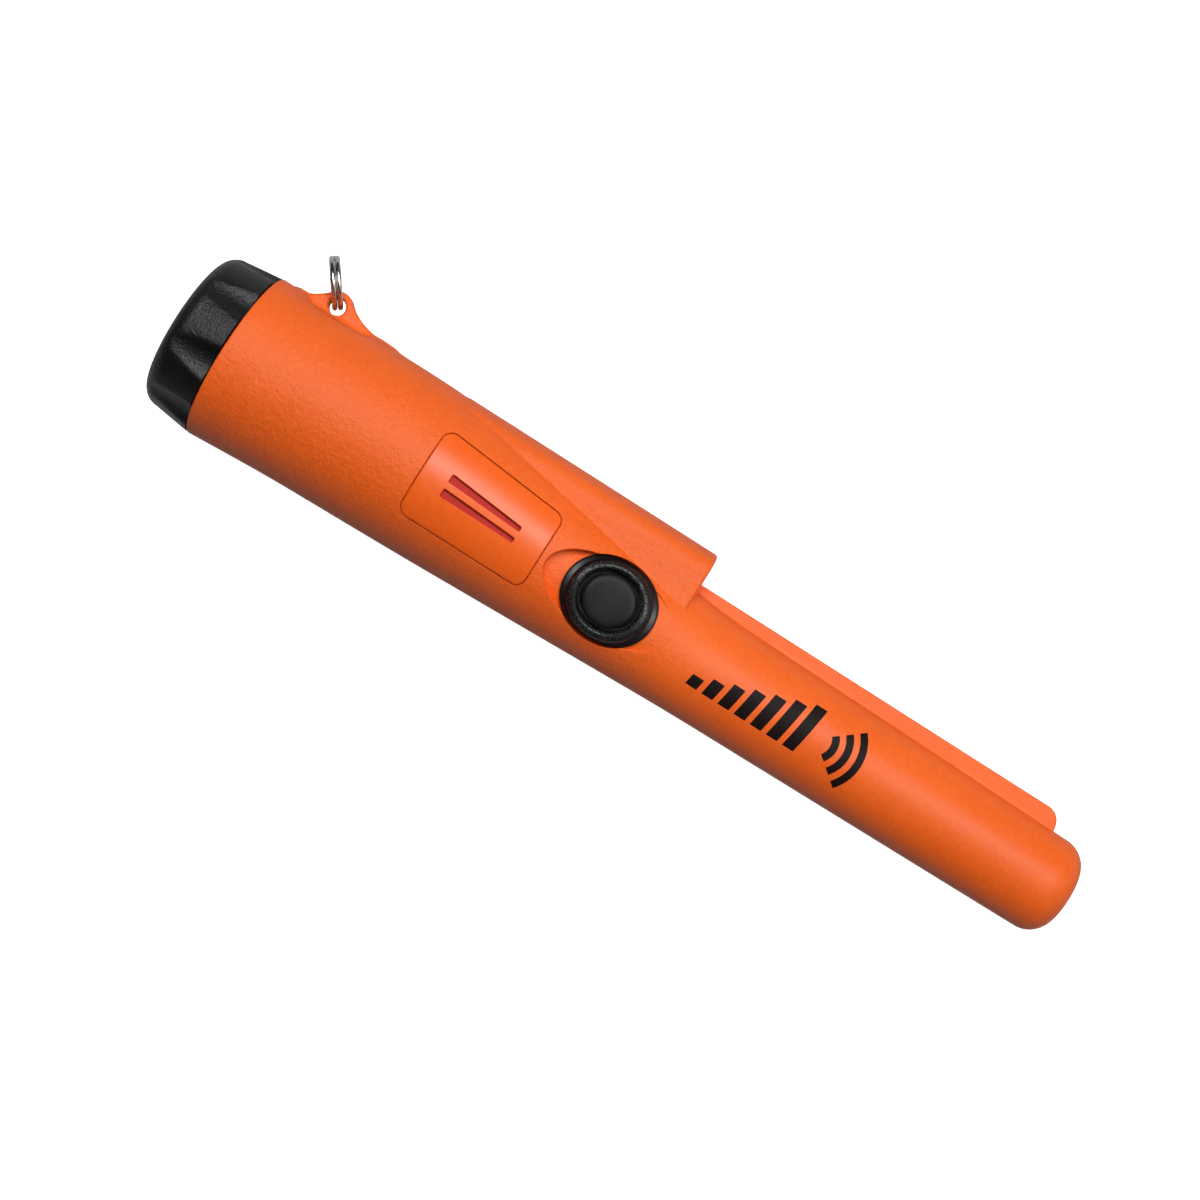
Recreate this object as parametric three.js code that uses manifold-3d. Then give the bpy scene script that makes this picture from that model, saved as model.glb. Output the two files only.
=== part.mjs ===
// Pinpointer probe: a hand-held metal locator with a search coil in its tip, as an assembly of separate pieces.
// Millimetres, +Z up. The origin is the centre of the flat face at the tip. The tube runs back along -X to the
// battery cap, +Y points to the side with the lamp hood, the blade and the lanyard lug, and +Z points out through
// the power button.
import * as THREE from "three";
import { mergeVertices } from "three/addons/utils/BufferGeometryUtils.js";
import Module from "manifold-3d";

const wasm = await Module();
wasm.setup();

// ---- Driving dimensions ----

const GAP = 0.3; // clearance between two pieces that seat on each other
const SEAM = 0.2; // clearance round the flush speaker cover

// Battery: a nine-volt block, with its snap terminals at the front.
const BATTERY_LENGTH = 46.4;
const BATTERY_WIDTH = 26.5;
const BATTERY_DEPTH = 17.5;
const BATTERY_CORNER_R = 2.5;
const BATTERY_CLEARANCE = 0.45;
const TERMINAL_HEIGHT = 2.1;
const TERMINAL_SPACING = 12.7;

// Cap: a lobed head, and a plug with an O-ring and a right-hand thread.
const CAP_HEAD_LENGTH = 12.4;
const CAP_TAPER = 1.1;
const CAP_EDGE_R = 4;
const LOBES = 8;
const FLUTE_R = 7.6;
const FLUTE_DEPTH = 1.25;
const LOBE_TURN = 9.4; // degrees from the button's direction to the nearest lobe, towards the hood
const COIN_SLOT = { length: 24, width: 2.4, depth: 1.6 };
const PLUG_LENGTH = 9.6;
const THREAD_LEAD = 2;
const THREAD_TURNS = 2.25;
const THREAD_HEIGHT = 0.8;
const THREAD_CREST = 0.5;
const THREAD_BASE = 1.2;
const THREAD_START = 3.9; // from the rim plane to the middle of the plug's first turn
const O_RING_SECTION = 1.8;
const GROOVE_DEPTH = 0.9;
const PAD_PROUD = 0.7; // how far the foam pad stands out of the plug

// Contact block and carrier, in order from the battery towards the tip.
const CONTACT_HEIGHT = 1.4;
const PLATE_THICKNESS = 1.2;
const BULKHEAD_THICKNESS = 1.6;

// Outer shell.
const RIM_WALL = 2.95; // outside the thread's root
const WAIST_FROM_RIM = 19.3;
const WAIST_DROP = 0.6;
const SHOULDER_DROP = 1.05;
const BAY_OVERRUN = 12.2; // how far the bay runs past the shoulder
const GRIP_OFFSET = 2.65; // height of the bay's axis above the tube's axis
const TUBE_LENGTH = 96.4;
const NECK_R = 12.36;
const TIP_R = 10.88;
const TIP_ROUND = 6;
const TUBE_WALL = 1.8;
const TIP_WALL = 3;
const SHOULDER_WALL = 1.6;

// Speaker cover, button and their places, in order from the shoulder towards the neck.
const COVER_LEAD = 3.3; // the cover starts this far behind the shoulder
const COVER_LENGTH = 31.2;
const COVER_HALF_ANGLE = 34.5;
const COVER_CORNER_R = 2.5;
const COVER_THICKNESS = 0.9;
const SLOT = { from: 6.3, length: 18.2, rear: 1.9, front: 1.1, bridge: 1.65 };
const MEMBRANE_THICKNESS = 0.25;
const MEMBRANE_WIDTH = 8;
const COVER_TO_PAD = 1.5;
const PAD_LENGTH = 31.1;
const PAD_WIDTH = 16.4;
const PAD_R = 12.9; // the recess floor round the button is a straight cylinder
const PAD_TO_NECK = 7.1;
const BOOT_R = 10.95;
const BOOT_RING = { inner: 7, outer: 9, height: 2.1 };
const BOOT_FLANGE_HEIGHT = 0.9;
const BUTTON_R = 5.95;
const BUTTON_SKIRT_R = 6.6;
const BUTTON_HOLE_R = 7.1;

// Speaker and its cup, which opens under the cover.
const SPEAKER_R = 6.3;
const SPEAKER_THICKNESS = 2;
const CUP_WALL = 1.2;
const CUP_FLOOR_Z = 10.7;
const CUP_FLOOR = 1.1;
const SPEAKER_FROM_COVER_END = 7.4;

// Lamp hood and blade.
const HOOD_LENGTH = 65;
const HOOD_HALF_WIDTH = 10.7;
const HOOD_DRAFT = 0.8;
const HOOD_FRONT_TO_NECK = 7.4;
const HOOD_CORE_HALF_WIDTH = 7.5;
const HOOD_ROOF = 6.4; // from the top line down to the hood's core
const LAMP_DROP = 3.8; // from the top line down to the lamp's axis
const LAMP_R = 2.8;
const LAMP_LENGTH = 8.6;
const LENS_THICKNESS = 2.1;
const BLADE_TOP = 15.1;
const BLADE_THICKNESS = 3;
const BLADE_TO_TIP = 10;
const BLADE_CORNER_R = 3.7;

// Lanyard lug and split ring.
const LUG_THICKNESS = 4.4;
const LUG_START = 4.3; // from the rim plane
const EYE_FROM_RIM = 13.1;
const EYE_RISE = 1.1; // above the top line
const EYE_R = 1.95;
const LUG_R = 3.55;
const LUG_END = 28.7;
const POCKET_DEPTH = 1.4;
const POCKET_REACH = 6.5;
const RING_R = 5.42; // to the middle of the wire
const RING_WIRE = 1.15;
const RING_PITCH = 1.25;
const RING_LEAN = 53.5; // degrees up from the rearward axis
const RING_TILT = 6;
const RING_OVERLAP = 330; // degrees by which each turn runs towards the next

// Electronics.
const BOARD_WIDTH = 15.6;
const BOARD_Y = 0.7; // the board and its tray lie a little towards the hood
const BOARD_THICKNESS = 1.6;
const BOARD_SETBACK = 3.4; // from the bulkhead to the board
const TRAY_THICKNESS = 1.6;
const TRAY_DROP = 1.6; // from the board down to the tray
const TRAY_WIDTH = 16;
const RAIL_THICKNESS = 1.2;
const STANDOFF_R = 2.2;
const ROD_R = 4;
const ROD_LENGTH = 48;
const TIP_FOAM = 3.4;
const BOBBIN_LENGTH = 43;
const BOBBIN_TO_TIP = 13;
const BOBBIN_WALL = 1;
const FLANGE_THICKNESS = 1.4;
const WINDING = 2.2;
const MOTOR_R = 3;
const MOTOR_LENGTH = 12;
const SHAFT_R = 0.5;
const WEIGHT_R = 2.6;
const WEIGHT_LENGTH = 4;
const SCREW = { headR: 1.8, headHeight: 1.3, shankR: 0.75, holeR: 1.05, passR: 1.2 };
const BOSS_R = 2.3;
const BOSS_LENGTH = 8;
const BOSS_FROM_AXIS = 12.3;
const WIRE_R = 0.5;

// ---- Places worked out from them ----

const bayR = Math.hypot(BATTERY_WIDTH / 2 - BATTERY_CORNER_R, BATTERY_DEPTH / 2 - BATTERY_CORNER_R)
  + BATTERY_CORNER_R + BATTERY_CLEARANCE;
const plugR = bayR + GAP;
const threadCrestR = plugR + THREAD_HEIGHT;
const nutCrestR = plugR + GAP;
const nutRootR = nutCrestR + THREAD_HEIGHT;
const mouthR = nutRootR + SEAM;
const rimR = nutRootR + RIM_WALL;
const topY = GRIP_OFFSET + rimR;

const bayDepth = PLUG_LENGTH + PAD_PROUD + BATTERY_LENGTH + TERMINAL_HEIGHT + CONTACT_HEIGHT + PLATE_THICKNESS
  + BULKHEAD_THICKNESS + 5 * GAP;
const coverEnd = COVER_LENGTH - COVER_LEAD;
const neckX = -TUBE_LENGTH;
const padX = neckX - PAD_TO_NECK - PAD_LENGTH / 2;
const buttonX = padX + 0.3;
const coverX = padX - PAD_LENGTH / 2 - COVER_TO_PAD - COVER_LENGTH;
const shoulderX = coverX + COVER_LEAD;
const bayFrontX = shoulderX + BAY_OVERRUN;
const rimX = bayFrontX - bayDepth;
const waistX = rimX + WAIST_FROM_RIM;
const capEndX = rimX - GAP - CAP_HEAD_LENGTH;

const batteryX = rimX + PLUG_LENGTH + PAD_PROUD + GAP;
const terminalX = batteryX + BATTERY_LENGTH + GAP / 3;
const contactX = terminalX + TERMINAL_HEIGHT + GAP / 2;
const bulkheadX = bayFrontX - GAP - BULKHEAD_THICKNESS;
const plateX = bulkheadX - GAP - PLATE_THICKNESS;
const hoodFrontX = neckX - HOOD_FRONT_TO_NECK;
const lampY = topY - LAMP_DROP;
const eyeX = rimX + EYE_FROM_RIM;
const eyeY = topY + EYE_RISE;
const speakerX = coverX + coverEnd + COVER_LEAD - SPEAKER_FROM_COVER_END;
const bobbinX = -BOBBIN_TO_TIP - BOBBIN_LENGTH;
const boardX = bulkheadX + BULKHEAD_THICKNESS + BOARD_SETBACK;
const boardEndX = bobbinX - FLANGE_THICKNESS - 9;
const trayEndX = bobbinX - GAP;
const boardTop = BOARD_THICKNESS + GAP;
const motorZ = boardTop + MOTOR_R;
const motorX = buttonX + 24;

// Radius and centre height of the shell along the probe. The barrel keeps its top line level.
const shellR = [
  [rimX, rimR],
  [waistX, rimR - WAIST_DROP],
  [shoulderX, rimR - SHOULDER_DROP],
  [neckX, NECK_R],
  [0, TIP_R],
];
const shellY = [
  [rimX, topY - rimR],
  [waistX, topY - rimR + WAIST_DROP],
  [shoulderX, topY - rimR + SHOULDER_DROP],
  [neckX, 0],
  [0, 0],
];
const padY = along(shellY, buttonX);
const speakerY = along(shellY, speakerX);

// ---- Tools ----

// Value at x of a list of [x, value] pairs, in straight lines between them.
function along(list, x) {
  const last = list.length - 2;
  const i = Math.min(last, Math.max(0, list.findIndex(([at]) => at >= x) - 1));
  const [[x0, v0], [x1, v1]] = [list[i], list[x > list[last + 1][0] ? last + 1 : i + 1]];
  return x1 === x0 ? v1 : v0 + ((v1 - v0) * (x - x0)) / (x1 - x0);
}

// A closed geometry as a manifold solid, and back.
function solid(geometry) {
  const bare = geometry.clone();
  bare.deleteAttribute("normal");
  bare.deleteAttribute("uv");
  const merged = mergeVertices(bare, 1e-4);
  const triVerts = new Uint32Array(merged.index.array);
  return new wasm.Manifold(new wasm.Mesh({ numProp: 3, vertProperties: merged.attributes.position.array, triVerts }));
}

function surface(body) {
  const { vertProperties, triVerts } = body.getMesh();
  const geometry = new THREE.BufferGeometry();
  geometry.setAttribute("position", new THREE.BufferAttribute(vertProperties, 3));
  geometry.setIndex(new THREE.BufferAttribute(triVerts, 1));
  const flat = geometry.toNonIndexed();
  flat.computeVertexNormals();
  return flat;
}

const join = (...geometries) => surface(geometries.map(solid).reduce((a, b) => a.add(b)));
const cut = (body, ...tools) => surface(tools.map(solid).reduce((a, b) => a.subtract(b), solid(body)));
const common = (a, b) => surface(solid(a).intersect(solid(b)));

// Moves every vertex of a geometry.
function reshape(geometry, move) {
  const position = geometry.attributes.position;
  const point = new THREE.Vector3();
  for (let i = 0; i < position.count; i++) {
    move(point.fromBufferAttribute(position, i));
    position.setXYZ(i, point.x, point.y, point.z);
  }
  return geometry;
}

// A path drawn in (x, radius) and turned about the X axis.
function turned(path, segments = 48, divisions = 3) {
  const profile = path.getPoints(divisions).map((p) => new THREE.Vector2(Math.max(0, p.y), p.x));
  return new THREE.LatheGeometry(profile, segments).rotateZ(-Math.PI / 2);
}

// The same for a plain outline of [x, radius] points that starts and ends on the axis or closes on itself.
function turnedPoints(points, segments = 48) {
  return turned(new THREE.Path(points.map(([x, r]) => new THREE.Vector2(x, r))), segments, 1);
}

function tubeAlongX(x0, x1, outer, inner, segments = 28) {
  return turnedPoints([[x0, inner], [x0, outer], [x1, outer], [x1, inner], [x0, inner]], segments);
}

function rodAlongX(x0, x1, radius, segments = 24) {
  return turnedPoints([[x0, 0], [x0, radius], [x1, radius], [x1, 0]], segments);
}

// A shape drawn in (x, y) and extruded along Z, or drawn in (y, z) and extruded along X.
function extrudedZ(shape, z0, z1, divisions = 6) {
  const options = { depth: z1 - z0, bevelEnabled: false, curveSegments: divisions };
  return new THREE.ExtrudeGeometry(shape, options).translate(0, 0, z0);
}

function extrudedX(shape, x0, x1, divisions = 6) {
  const turn = new THREE.Matrix4().makeBasis(
    new THREE.Vector3(0, 1, 0),
    new THREE.Vector3(0, 0, 1),
    new THREE.Vector3(1, 0, 0),
  );
  return extrudedZ(shape, x0, x1, divisions).applyMatrix4(turn);
}

function postAlongZ(x, y, z0, z1, radius, segments = 24) {
  const post = new THREE.CylinderGeometry(radius, radius, z1 - z0, segments).rotateX(Math.PI / 2);
  return post.translate(x, y, (z0 + z1) / 2);
}

function postAlongY(x, z, y0, y1, radius, segments = 24) {
  return new THREE.CylinderGeometry(radius, radius, y1 - y0, segments).translate(x, (y0 + y1) / 2, z);
}

function block(x0, x1, y0, y1, z0, z1) {
  return new THREE.BoxGeometry(x1 - x0, y1 - y0, z1 - z0).translate((x0 + x1) / 2, (y0 + y1) / 2, (z0 + z1) / 2);
}

function roundedRectangle(width, height, radius, centreX = 0, centreY = 0) {
  const shape = new THREE.Shape();
  const [x, y] = [width / 2, height / 2];
  shape.absarc(centreX + x - radius, centreY + y - radius, radius, 0, Math.PI / 2);
  shape.absarc(centreX - x + radius, centreY + y - radius, radius, Math.PI / 2, Math.PI);
  shape.absarc(centreX - x + radius, centreY - y + radius, radius, Math.PI, Math.PI * 1.5);
  shape.absarc(centreX + x - radius, centreY - y + radius, radius, Math.PI * 1.5, Math.PI * 2);
  return shape;
}

// A polygon with every corner rounded.
function roundedPolygon(corners, radius) {
  const shape = new THREE.Shape();
  corners.forEach((corner, i) => {
    const before = corners.at(i - 1);
    const after = corners[(i + 1) % corners.length];
    const start = corner.clone().lerp(before, radius / corner.distanceTo(before));
    const end = corner.clone().lerp(after, radius / corner.distanceTo(after));
    if (i) shape.lineTo(start.x, start.y);
    else shape.moveTo(start.x, start.y);
    shape.quadraticCurveTo(corner.x, corner.y, end.x, end.y);
  });
  return shape;
}

// A closed section drawn in (axial, radial) and swept round the X axis along a helix. axialAt gives the shift
// along X at an angle, and heightAt scales the section's height above its base.
function swept(section, from, to, segmentsPerTurn, axialAt, heightAt = () => 1, base = 0) {
  const steps = Math.ceil(((to - from) / (2 * Math.PI)) * segmentsPerTurn);
  const straight = new THREE.ExtrudeGeometry(section, { depth: 1, steps, bevelEnabled: false, curveSegments: 4 });
  return reshape(straight, (p) => {
    const angle = from + (to - from) * p.z;
    const radius = base + (p.y - base) * heightAt(angle);
    p.set(p.x + axialAt(angle), radius * Math.cos(angle), radius * Math.sin(angle));
  });
}

// A thread's ridge from base radius to crest radius, sunk a little into the wall it stands on.
function threadRidge(baseR, crestR, startX) {
  const sink = Math.sign(baseR - crestR) * GAP;
  const rootWidth = THREAD_BASE + ((THREAD_BASE - THREAD_CREST) * GAP) / THREAD_HEIGHT;
  const section = new THREE.Shape([
    new THREE.Vector2(-rootWidth / 2, baseR + sink),
    new THREE.Vector2(rootWidth / 2, baseR + sink),
    new THREE.Vector2(THREAD_CREST / 2, crestR),
    new THREE.Vector2(-THREAD_CREST / 2, crestR),
  ]);
  const end = THREAD_TURNS * 2 * Math.PI;
  const runOut = Math.PI / 6;
  const advance = (angle) => startX + (THREAD_LEAD * angle) / (2 * Math.PI);
  const height = (angle) => Math.min(1, 0.15 + Math.min(angle, end - angle) / runOut);
  return swept(section, 0, end, 28, advance, height, baseR + sink).translate(0, GRIP_OFFSET, 0);
}

// A round wire along a smooth curve through the points.
function wire(points, radius = WIRE_R, steps = 12) {
  const section = new THREE.Shape().absarc(0, 0, radius, 0, 2 * Math.PI);
  const extrudePath = new THREE.CatmullRomCurve3(points.map((p) => new THREE.Vector3(...p)));
  return new THREE.ExtrudeGeometry(section, { extrudePath, steps, curveSegments: 4 });
}

// ---- Materials ----

function material(color, roughness, metalness = 0) {
  return new THREE.MeshStandardMaterial({ color, roughness, metalness });
}

const bodyPlastic = material(0xf0691f, 0.55);
const coverPlastic = material(0xf2701f, 0.4);
const capPlastic = material(0x1c1b1d, 0.6);
const rubber = material(0x171516, 0.7);
const meshCloth = material(0x8c191c, 0.9);
const foam = material(0x2a2a2c, 0.95);
const steel = material(0xc4c4c8, 0.25, 1);
const tin = material(0xa9abb0, 0.35, 1);
const brass = material(0xc9a24c, 0.35, 1);
const copper = material(0xb4673a, 0.35, 1);
const boardGreen = material(0x1c5e38, 0.5);
const chipBlack = material(0x141416, 0.5);
const ferrite = material(0x3a3b3f, 0.6);
const carrierPlastic = material(0x2f3033, 0.6);
const clearPlastic = material(0xf2f4f6, 0.15);
const batterySkin = material(0x33383f, 0.35, 0.4);
const redWire = material(0xb3201f, 0.5);
const blackWire = material(0x1a1a1a, 0.5);

const probe = new THREE.Group();

function add(name, geometry, finish) {
  const mesh = new THREE.Mesh(geometry, finish);
  mesh.name = name;
  probe.add(mesh);
  return mesh;
}

// ---- Housing ----

// The shell's own surface, or one that lies a depth under it, from x0 to x1.
function shellSolid(depth, x0, x1, segments = 48) {
  const stations = [x0, ...shellR.map(([x]) => x).filter((x) => x > x0 + 0.01 && x < x1 - 0.01), x1];
  const outline = stations.map((x) => [x, along(shellR, x) - depth]);
  const shell = turnedPoints([[x0, 0], ...outline, [x1, 0]], segments);
  return reshape(shell, (p) => (p.y += along(shellY, p.x)));
}

function shellOutside() {
  const path = new THREE.Path();
  const chamfer = 0.4;
  path.moveTo(rimX, 0).lineTo(rimX, rimR - chamfer).lineTo(rimX + chamfer, rimR);
  for (const [x, r] of shellR.slice(1, -1)) path.lineTo(x, r);
  path.lineTo(-TIP_ROUND, TIP_R);
  path.absarc(-TIP_ROUND, TIP_R - TIP_ROUND, TIP_ROUND, Math.PI / 2, 0, true);
  path.lineTo(0, 0);
  return reshape(turned(path), (p) => (p.y += along(shellY, p.x)));
}

// The hood carries the barrel's round top straight on, between two flat sides with a little draft.
function hood() {
  const topR = rimR - SHOULDER_DROP;
  const centreY = topY - topR;
  const topZ = HOOD_HALF_WIDTH - HOOD_DRAFT;
  const cornerY = centreY + Math.sqrt(topR * topR - topZ * topZ);
  const halfArc = Math.asin(topZ / topR);
  const shape = new THREE.Shape().moveTo(centreY, -HOOD_HALF_WIDTH).lineTo(cornerY, -topZ);
  shape.absarc(centreY, 0, topR, -halfArc, halfArc);
  shape.lineTo(centreY, HOOD_HALF_WIDTH);
  return extrudedX(shape, hoodFrontX - HOOD_LENGTH, hoodFrontX, 5);
}

function blade() {
  const endX = -BLADE_TO_TIP;
  const shape = new THREE.Shape().moveTo(hoodFrontX - 3, TIP_R - 3).lineTo(endX, TIP_R - 3);
  shape.lineTo(endX, BLADE_TOP - BLADE_CORNER_R);
  shape.absarc(endX - BLADE_CORNER_R, BLADE_TOP - BLADE_CORNER_R, BLADE_CORNER_R, 0, Math.PI / 2);
  shape.lineTo(hoodFrontX - 3, BLADE_TOP);
  return extrudedZ(shape, -BLADE_THICKNESS / 2, BLADE_THICKNESS / 2);
}

// A fin in the mid-plane with a round boss for the eye and a long hollow back.
function lug() {
  const root = topY - 3;
  const shape = new THREE.Shape().moveTo(rimX + LUG_END, root).lineTo(rimX + LUG_END, topY - 0.2);
  const leave = Math.PI * 0.22;
  const arrive = Math.PI * 0.8;
  const [fromX, fromY] = [eyeX + LUG_R * Math.cos(leave), eyeY + LUG_R * Math.sin(leave)];
  shape.bezierCurveTo(rimX + LUG_END - 6, topY + 0.1, fromX + 2.6, fromY - 2.4, fromX, fromY);
  shape.absarc(eyeX, eyeY, LUG_R, leave, arrive);
  shape.quadraticCurveTo(rimX + LUG_START + 3, topY + 0.3, rimX + LUG_START, topY - 0.2);
  shape.lineTo(rimX + LUG_START, root);
  return extrudedZ(shape, -LUG_THICKNESS / 2, LUG_THICKNESS / 2);
}

// Scooped pockets beside the fin give the ring room.
function lugPocket(side) {
  const floorY = topY - POCKET_DEPTH;
  const [x0, x1] = [eyeX - 5.6, eyeX + 9];
  const shape = new THREE.Shape().moveTo(x0 - 3, topY + 2).quadraticCurveTo(x0 - 1.6, floorY, x0 + 1, floorY);
  shape.lineTo(x1 - 1, floorY).quadraticCurveTo(x1 + 2, floorY, x1 + 4, topY + 2);
  const [near, far] = [LUG_THICKNESS / 2, LUG_THICKNESS / 2 + POCKET_REACH];
  return side > 0 ? extrudedZ(shape, near, far) : extrudedZ(shape, -far, -near);
}

// Outline of the cover in (x, y): its long edges follow the shell at a constant angle.
function coverOutline(inset) {
  const corner = (x, side) => {
    const y = along(shellY, x) + side * along(shellR, x) * Math.sin(THREE.MathUtils.degToRad(COVER_HALF_ANGLE));
    return new THREE.Vector2(x, y - side * inset);
  };
  const [x0, x1] = [coverX + inset, coverX + COVER_LENGTH - inset];
  return roundedPolygon([corner(x0, -1), corner(x1, -1), corner(x1, 1), corner(x0, 1)], COVER_CORNER_R);
}

// The strip under the sound slots, in (x, y).
function membraneOutline(margin) {
  const [x0, x1] = [coverX + SLOT.from - 1.5 - margin, coverX + SLOT.from + SLOT.length + 1.5 + margin];
  const half = MEMBRANE_WIDTH / 2 + margin;
  const corner = (x, side) => new THREE.Vector2(x, along(shellY, x) + side * half);
  return roundedPolygon([corner(x0, -1), corner(x1, -1), corner(x1, 1), corner(x0, 1)], 1);
}

// The recess round the button: an oval pad and the boot's own outline, both cut down to the pad's cylinder.
function padRecess() {
  const oval = new THREE.Shape().absellipse(padX, padY, PAD_LENGTH / 2, PAD_WIDTH / 2, 0, 2 * Math.PI);
  const bootHalf = (PAD_R + BOOT_FLANGE_HEIGHT) * Math.sin(BOOT_R / PAD_R);
  const seat = new THREE.Shape().absellipse(buttonX, padY, BOOT_R + GAP, bootHalf + GAP, 0, 2 * Math.PI);
  const above = rimR + 2;
  const floor = rodAlongX(padX - PAD_LENGTH, padX + PAD_LENGTH, PAD_R, 64).translate(0, padY, 0);
  return cut(join(extrudedZ(oval, 0, above, 24), extrudedZ(seat, 0, above, 24)), floor);
}

function coverRecess() {
  const above = rimR + 2;
  const under = COVER_THICKNESS + SEAM;
  const x1 = coverX + COVER_LENGTH + 1;
  const recess = cut(extrudedZ(coverOutline(0), 0, above), shellSolid(under, coverX - 1, x1));
  const strip = extrudedZ(membraneOutline(SEAM), 0, above);
  return join(recess, cut(strip, shellSolid(under + MEMBRANE_THICKNESS + SEAM, coverX - 1, x1)));
}

// Everything taken out of the shell from the rear: mouth, thread root, battery bay and the electronics' cavity.
function cavity() {
  const threadEndX = rimX + PLUG_LENGTH + 1.2;
  const bay = turnedPoints([
    [rimX - 1, 0],
    [rimX - 1, mouthR],
    [rimX + THREAD_START - 1.2, mouthR],
    [rimX + THREAD_START - 1, nutRootR],
    [threadEndX, nutRootR],
    [threadEndX + 1.5, bayR],
    [bayFrontX, bayR],
    [bayFrontX, 0],
  ]).translate(0, GRIP_OFFSET, 0);
  const front = bayFrontX - 0.5;
  const cupX = bayFrontX + 13;
  const [neckBore, tipBore] = [NECK_R - TUBE_WALL, TIP_R - TUBE_WALL];
  const end = -TIP_WALL;
  const core = turnedPoints([
    [front, 0],
    [front, along(shellR, bayFrontX) - 2.2 * SHOULDER_WALL],
    [cupX, PAD_R - TUBE_WALL],
    [neckX, neckBore],
    [end - 4.5, tipBore],
    [end - 1.4, tipBore - 1.5],
    [end, tipBore - 4.5],
    [end, 0],
  ]);
  const centre = (x) => Math.min(GRIP_OFFSET, along(shellY, x));
  const lampCore = block(front, hoodFrontX - 2.7, along(shellY, buttonX), topY - HOOD_ROOF,
    -HOOD_CORE_HALF_WIDTH, HOOD_CORE_HALF_WIDTH);
  return join(bay, reshape(core, (p) => (p.y += centre(p.x))), lampCore);
}

// Bore for the lamp, with a way down into the hood's core for its wires.
function lampBore() {
  const rearX = hoodFrontX - LENS_THICKNESS - LAMP_LENGTH - 3.6;
  const bore = rodAlongX(rearX, hoodFrontX + 1, LAMP_R + GAP).translate(0, lampY, 0);
  return join(bore, postAlongY(rearX + 2.4, 0, topY - HOOD_ROOF - 1, lampY, 2.3));
}

// Places of the two bosses that the carrier is screwed to.
const bosses = [
  [GRIP_OFFSET + BOSS_FROM_AXIS, 0],
  [GRIP_OFFSET, -BOSS_FROM_AXIS],
];

function bodyHousing() {
  const cupTop = PAD_R + 3;
  const outside = join(shellOutside(), hood(), blade(), lug());
  const hollow = cut(outside, lugPocket(1), lugPocket(-1), postAlongZ(eyeX, eyeY, -4, 4, EYE_R, 24), cavity());
  const cup = common(postAlongZ(speakerX, speakerY, CUP_FLOOR_Z - CUP_FLOOR, cupTop, SPEAKER_R + GAP + CUP_WALL),
    shellSolid(1, coverX, coverX + COVER_LENGTH + 2));
  const posts = bosses.map(([y, z]) => rodAlongX(bayFrontX, bayFrontX + BOSS_LENGTH, BOSS_R).translate(0, y, z));
  const nutThread = threadRidge(nutRootR, nutCrestR, rimX + THREAD_START + THREAD_LEAD / 2);
  const solidParts = join(hollow, cup, ...posts, nutThread);
  const pilots = bosses.map(([y, z]) => rodAlongX(bayFrontX - 1, bayFrontX + BOSS_LENGTH - 1, SCREW.holeR, 16)
    .translate(0, y, z));
  const wireHoles = [-3, 3].map((dx) => postAlongZ(speakerX + dx, speakerY, 5, CUP_FLOOR_Z + 1, 1, 12));
  return cut(solidParts, padRecess(), coverRecess(), lampBore(), ...pilots, ...wireHoles,
    postAlongZ(speakerX, speakerY, CUP_FLOOR_Z, rimR, SPEAKER_R + GAP),
    postAlongZ(buttonX, padY, 5, rimR, BUTTON_HOLE_R));
}

add("body_housing", bodyHousing(), bodyPlastic);

// ---- Speaker, its cover and seals ----

function slotOutline(side) {
  const x0 = coverX + SLOT.from;
  const x1 = x0 + SLOT.length;
  const edge = (x, rise) => new THREE.Vector2(x, along(shellY, x) + side * rise);
  const inner = SLOT.bridge / 2;
  const corners = [edge(x0, inner), edge(x1, inner), edge(x1, inner + SLOT.front), edge(x0, inner + SLOT.rear)];
  return roundedPolygon(side > 0 ? corners : corners.reverse(), 0.25);
}

function speakerCover() {
  const [x0, x1] = [coverX - 1, coverX + COVER_LENGTH + 1];
  const skin = cut(shellSolid(0, x0, x1), shellSolid(COVER_THICKNESS, x0 - 1, x1 + 1));
  const plate = common(skin, extrudedZ(coverOutline(SEAM), 1, rimR + 2));
  return cut(plate, ...[-1, 1].map((side) => extrudedZ(slotOutline(side), 1, rimR + 2)));
}

function speakerMembrane() {
  const [x0, x1] = [coverX - 1, coverX + COVER_LENGTH + 1];
  const outer = COVER_THICKNESS + SEAM;
  const skin = cut(shellSolid(outer, x0, x1), shellSolid(outer + MEMBRANE_THICKNESS, x0 - 1, x1 + 1));
  return common(skin, extrudedZ(membraneOutline(0), 1, rimR + 2));
}

add("speaker_cover", speakerCover(), coverPlastic);
add("speaker_membrane", speakerMembrane(), meshCloth);

const speakerZ = CUP_FLOOR_Z + GAP;
const gasketZ = speakerZ + SPEAKER_THICKNESS + GAP;

// A flat piece turned about Z from an outline of [height, radius] points, at the speaker's place.
function discAt(x, y, z, outline, segments = 28) {
  return turnedPoints(outline, segments).rotateY(-Math.PI / 2).translate(x, y, z);
}

const speakerStep = SPEAKER_R - 1;
add("piezo_speaker", discAt(speakerX, speakerY, speakerZ, [
  [0, 0], [0, SPEAKER_R], [SPEAKER_THICKNESS - 0.5, SPEAKER_R], [SPEAKER_THICKNESS, speakerStep],
  [SPEAKER_THICKNESS, 1], [SPEAKER_THICKNESS - 0.6, 1], [SPEAKER_THICKNESS - 0.6, 0],
]), tin);
add("speaker_gasket", discAt(speakerX, speakerY, gasketZ, [
  [0, speakerStep - 0.4], [0, SPEAKER_R - 0.1], [0.5, SPEAKER_R - 0.1], [0.5, speakerStep - 0.4],
  [0, speakerStep - 0.4],
]), foam);

// ---- Button ----

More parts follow.
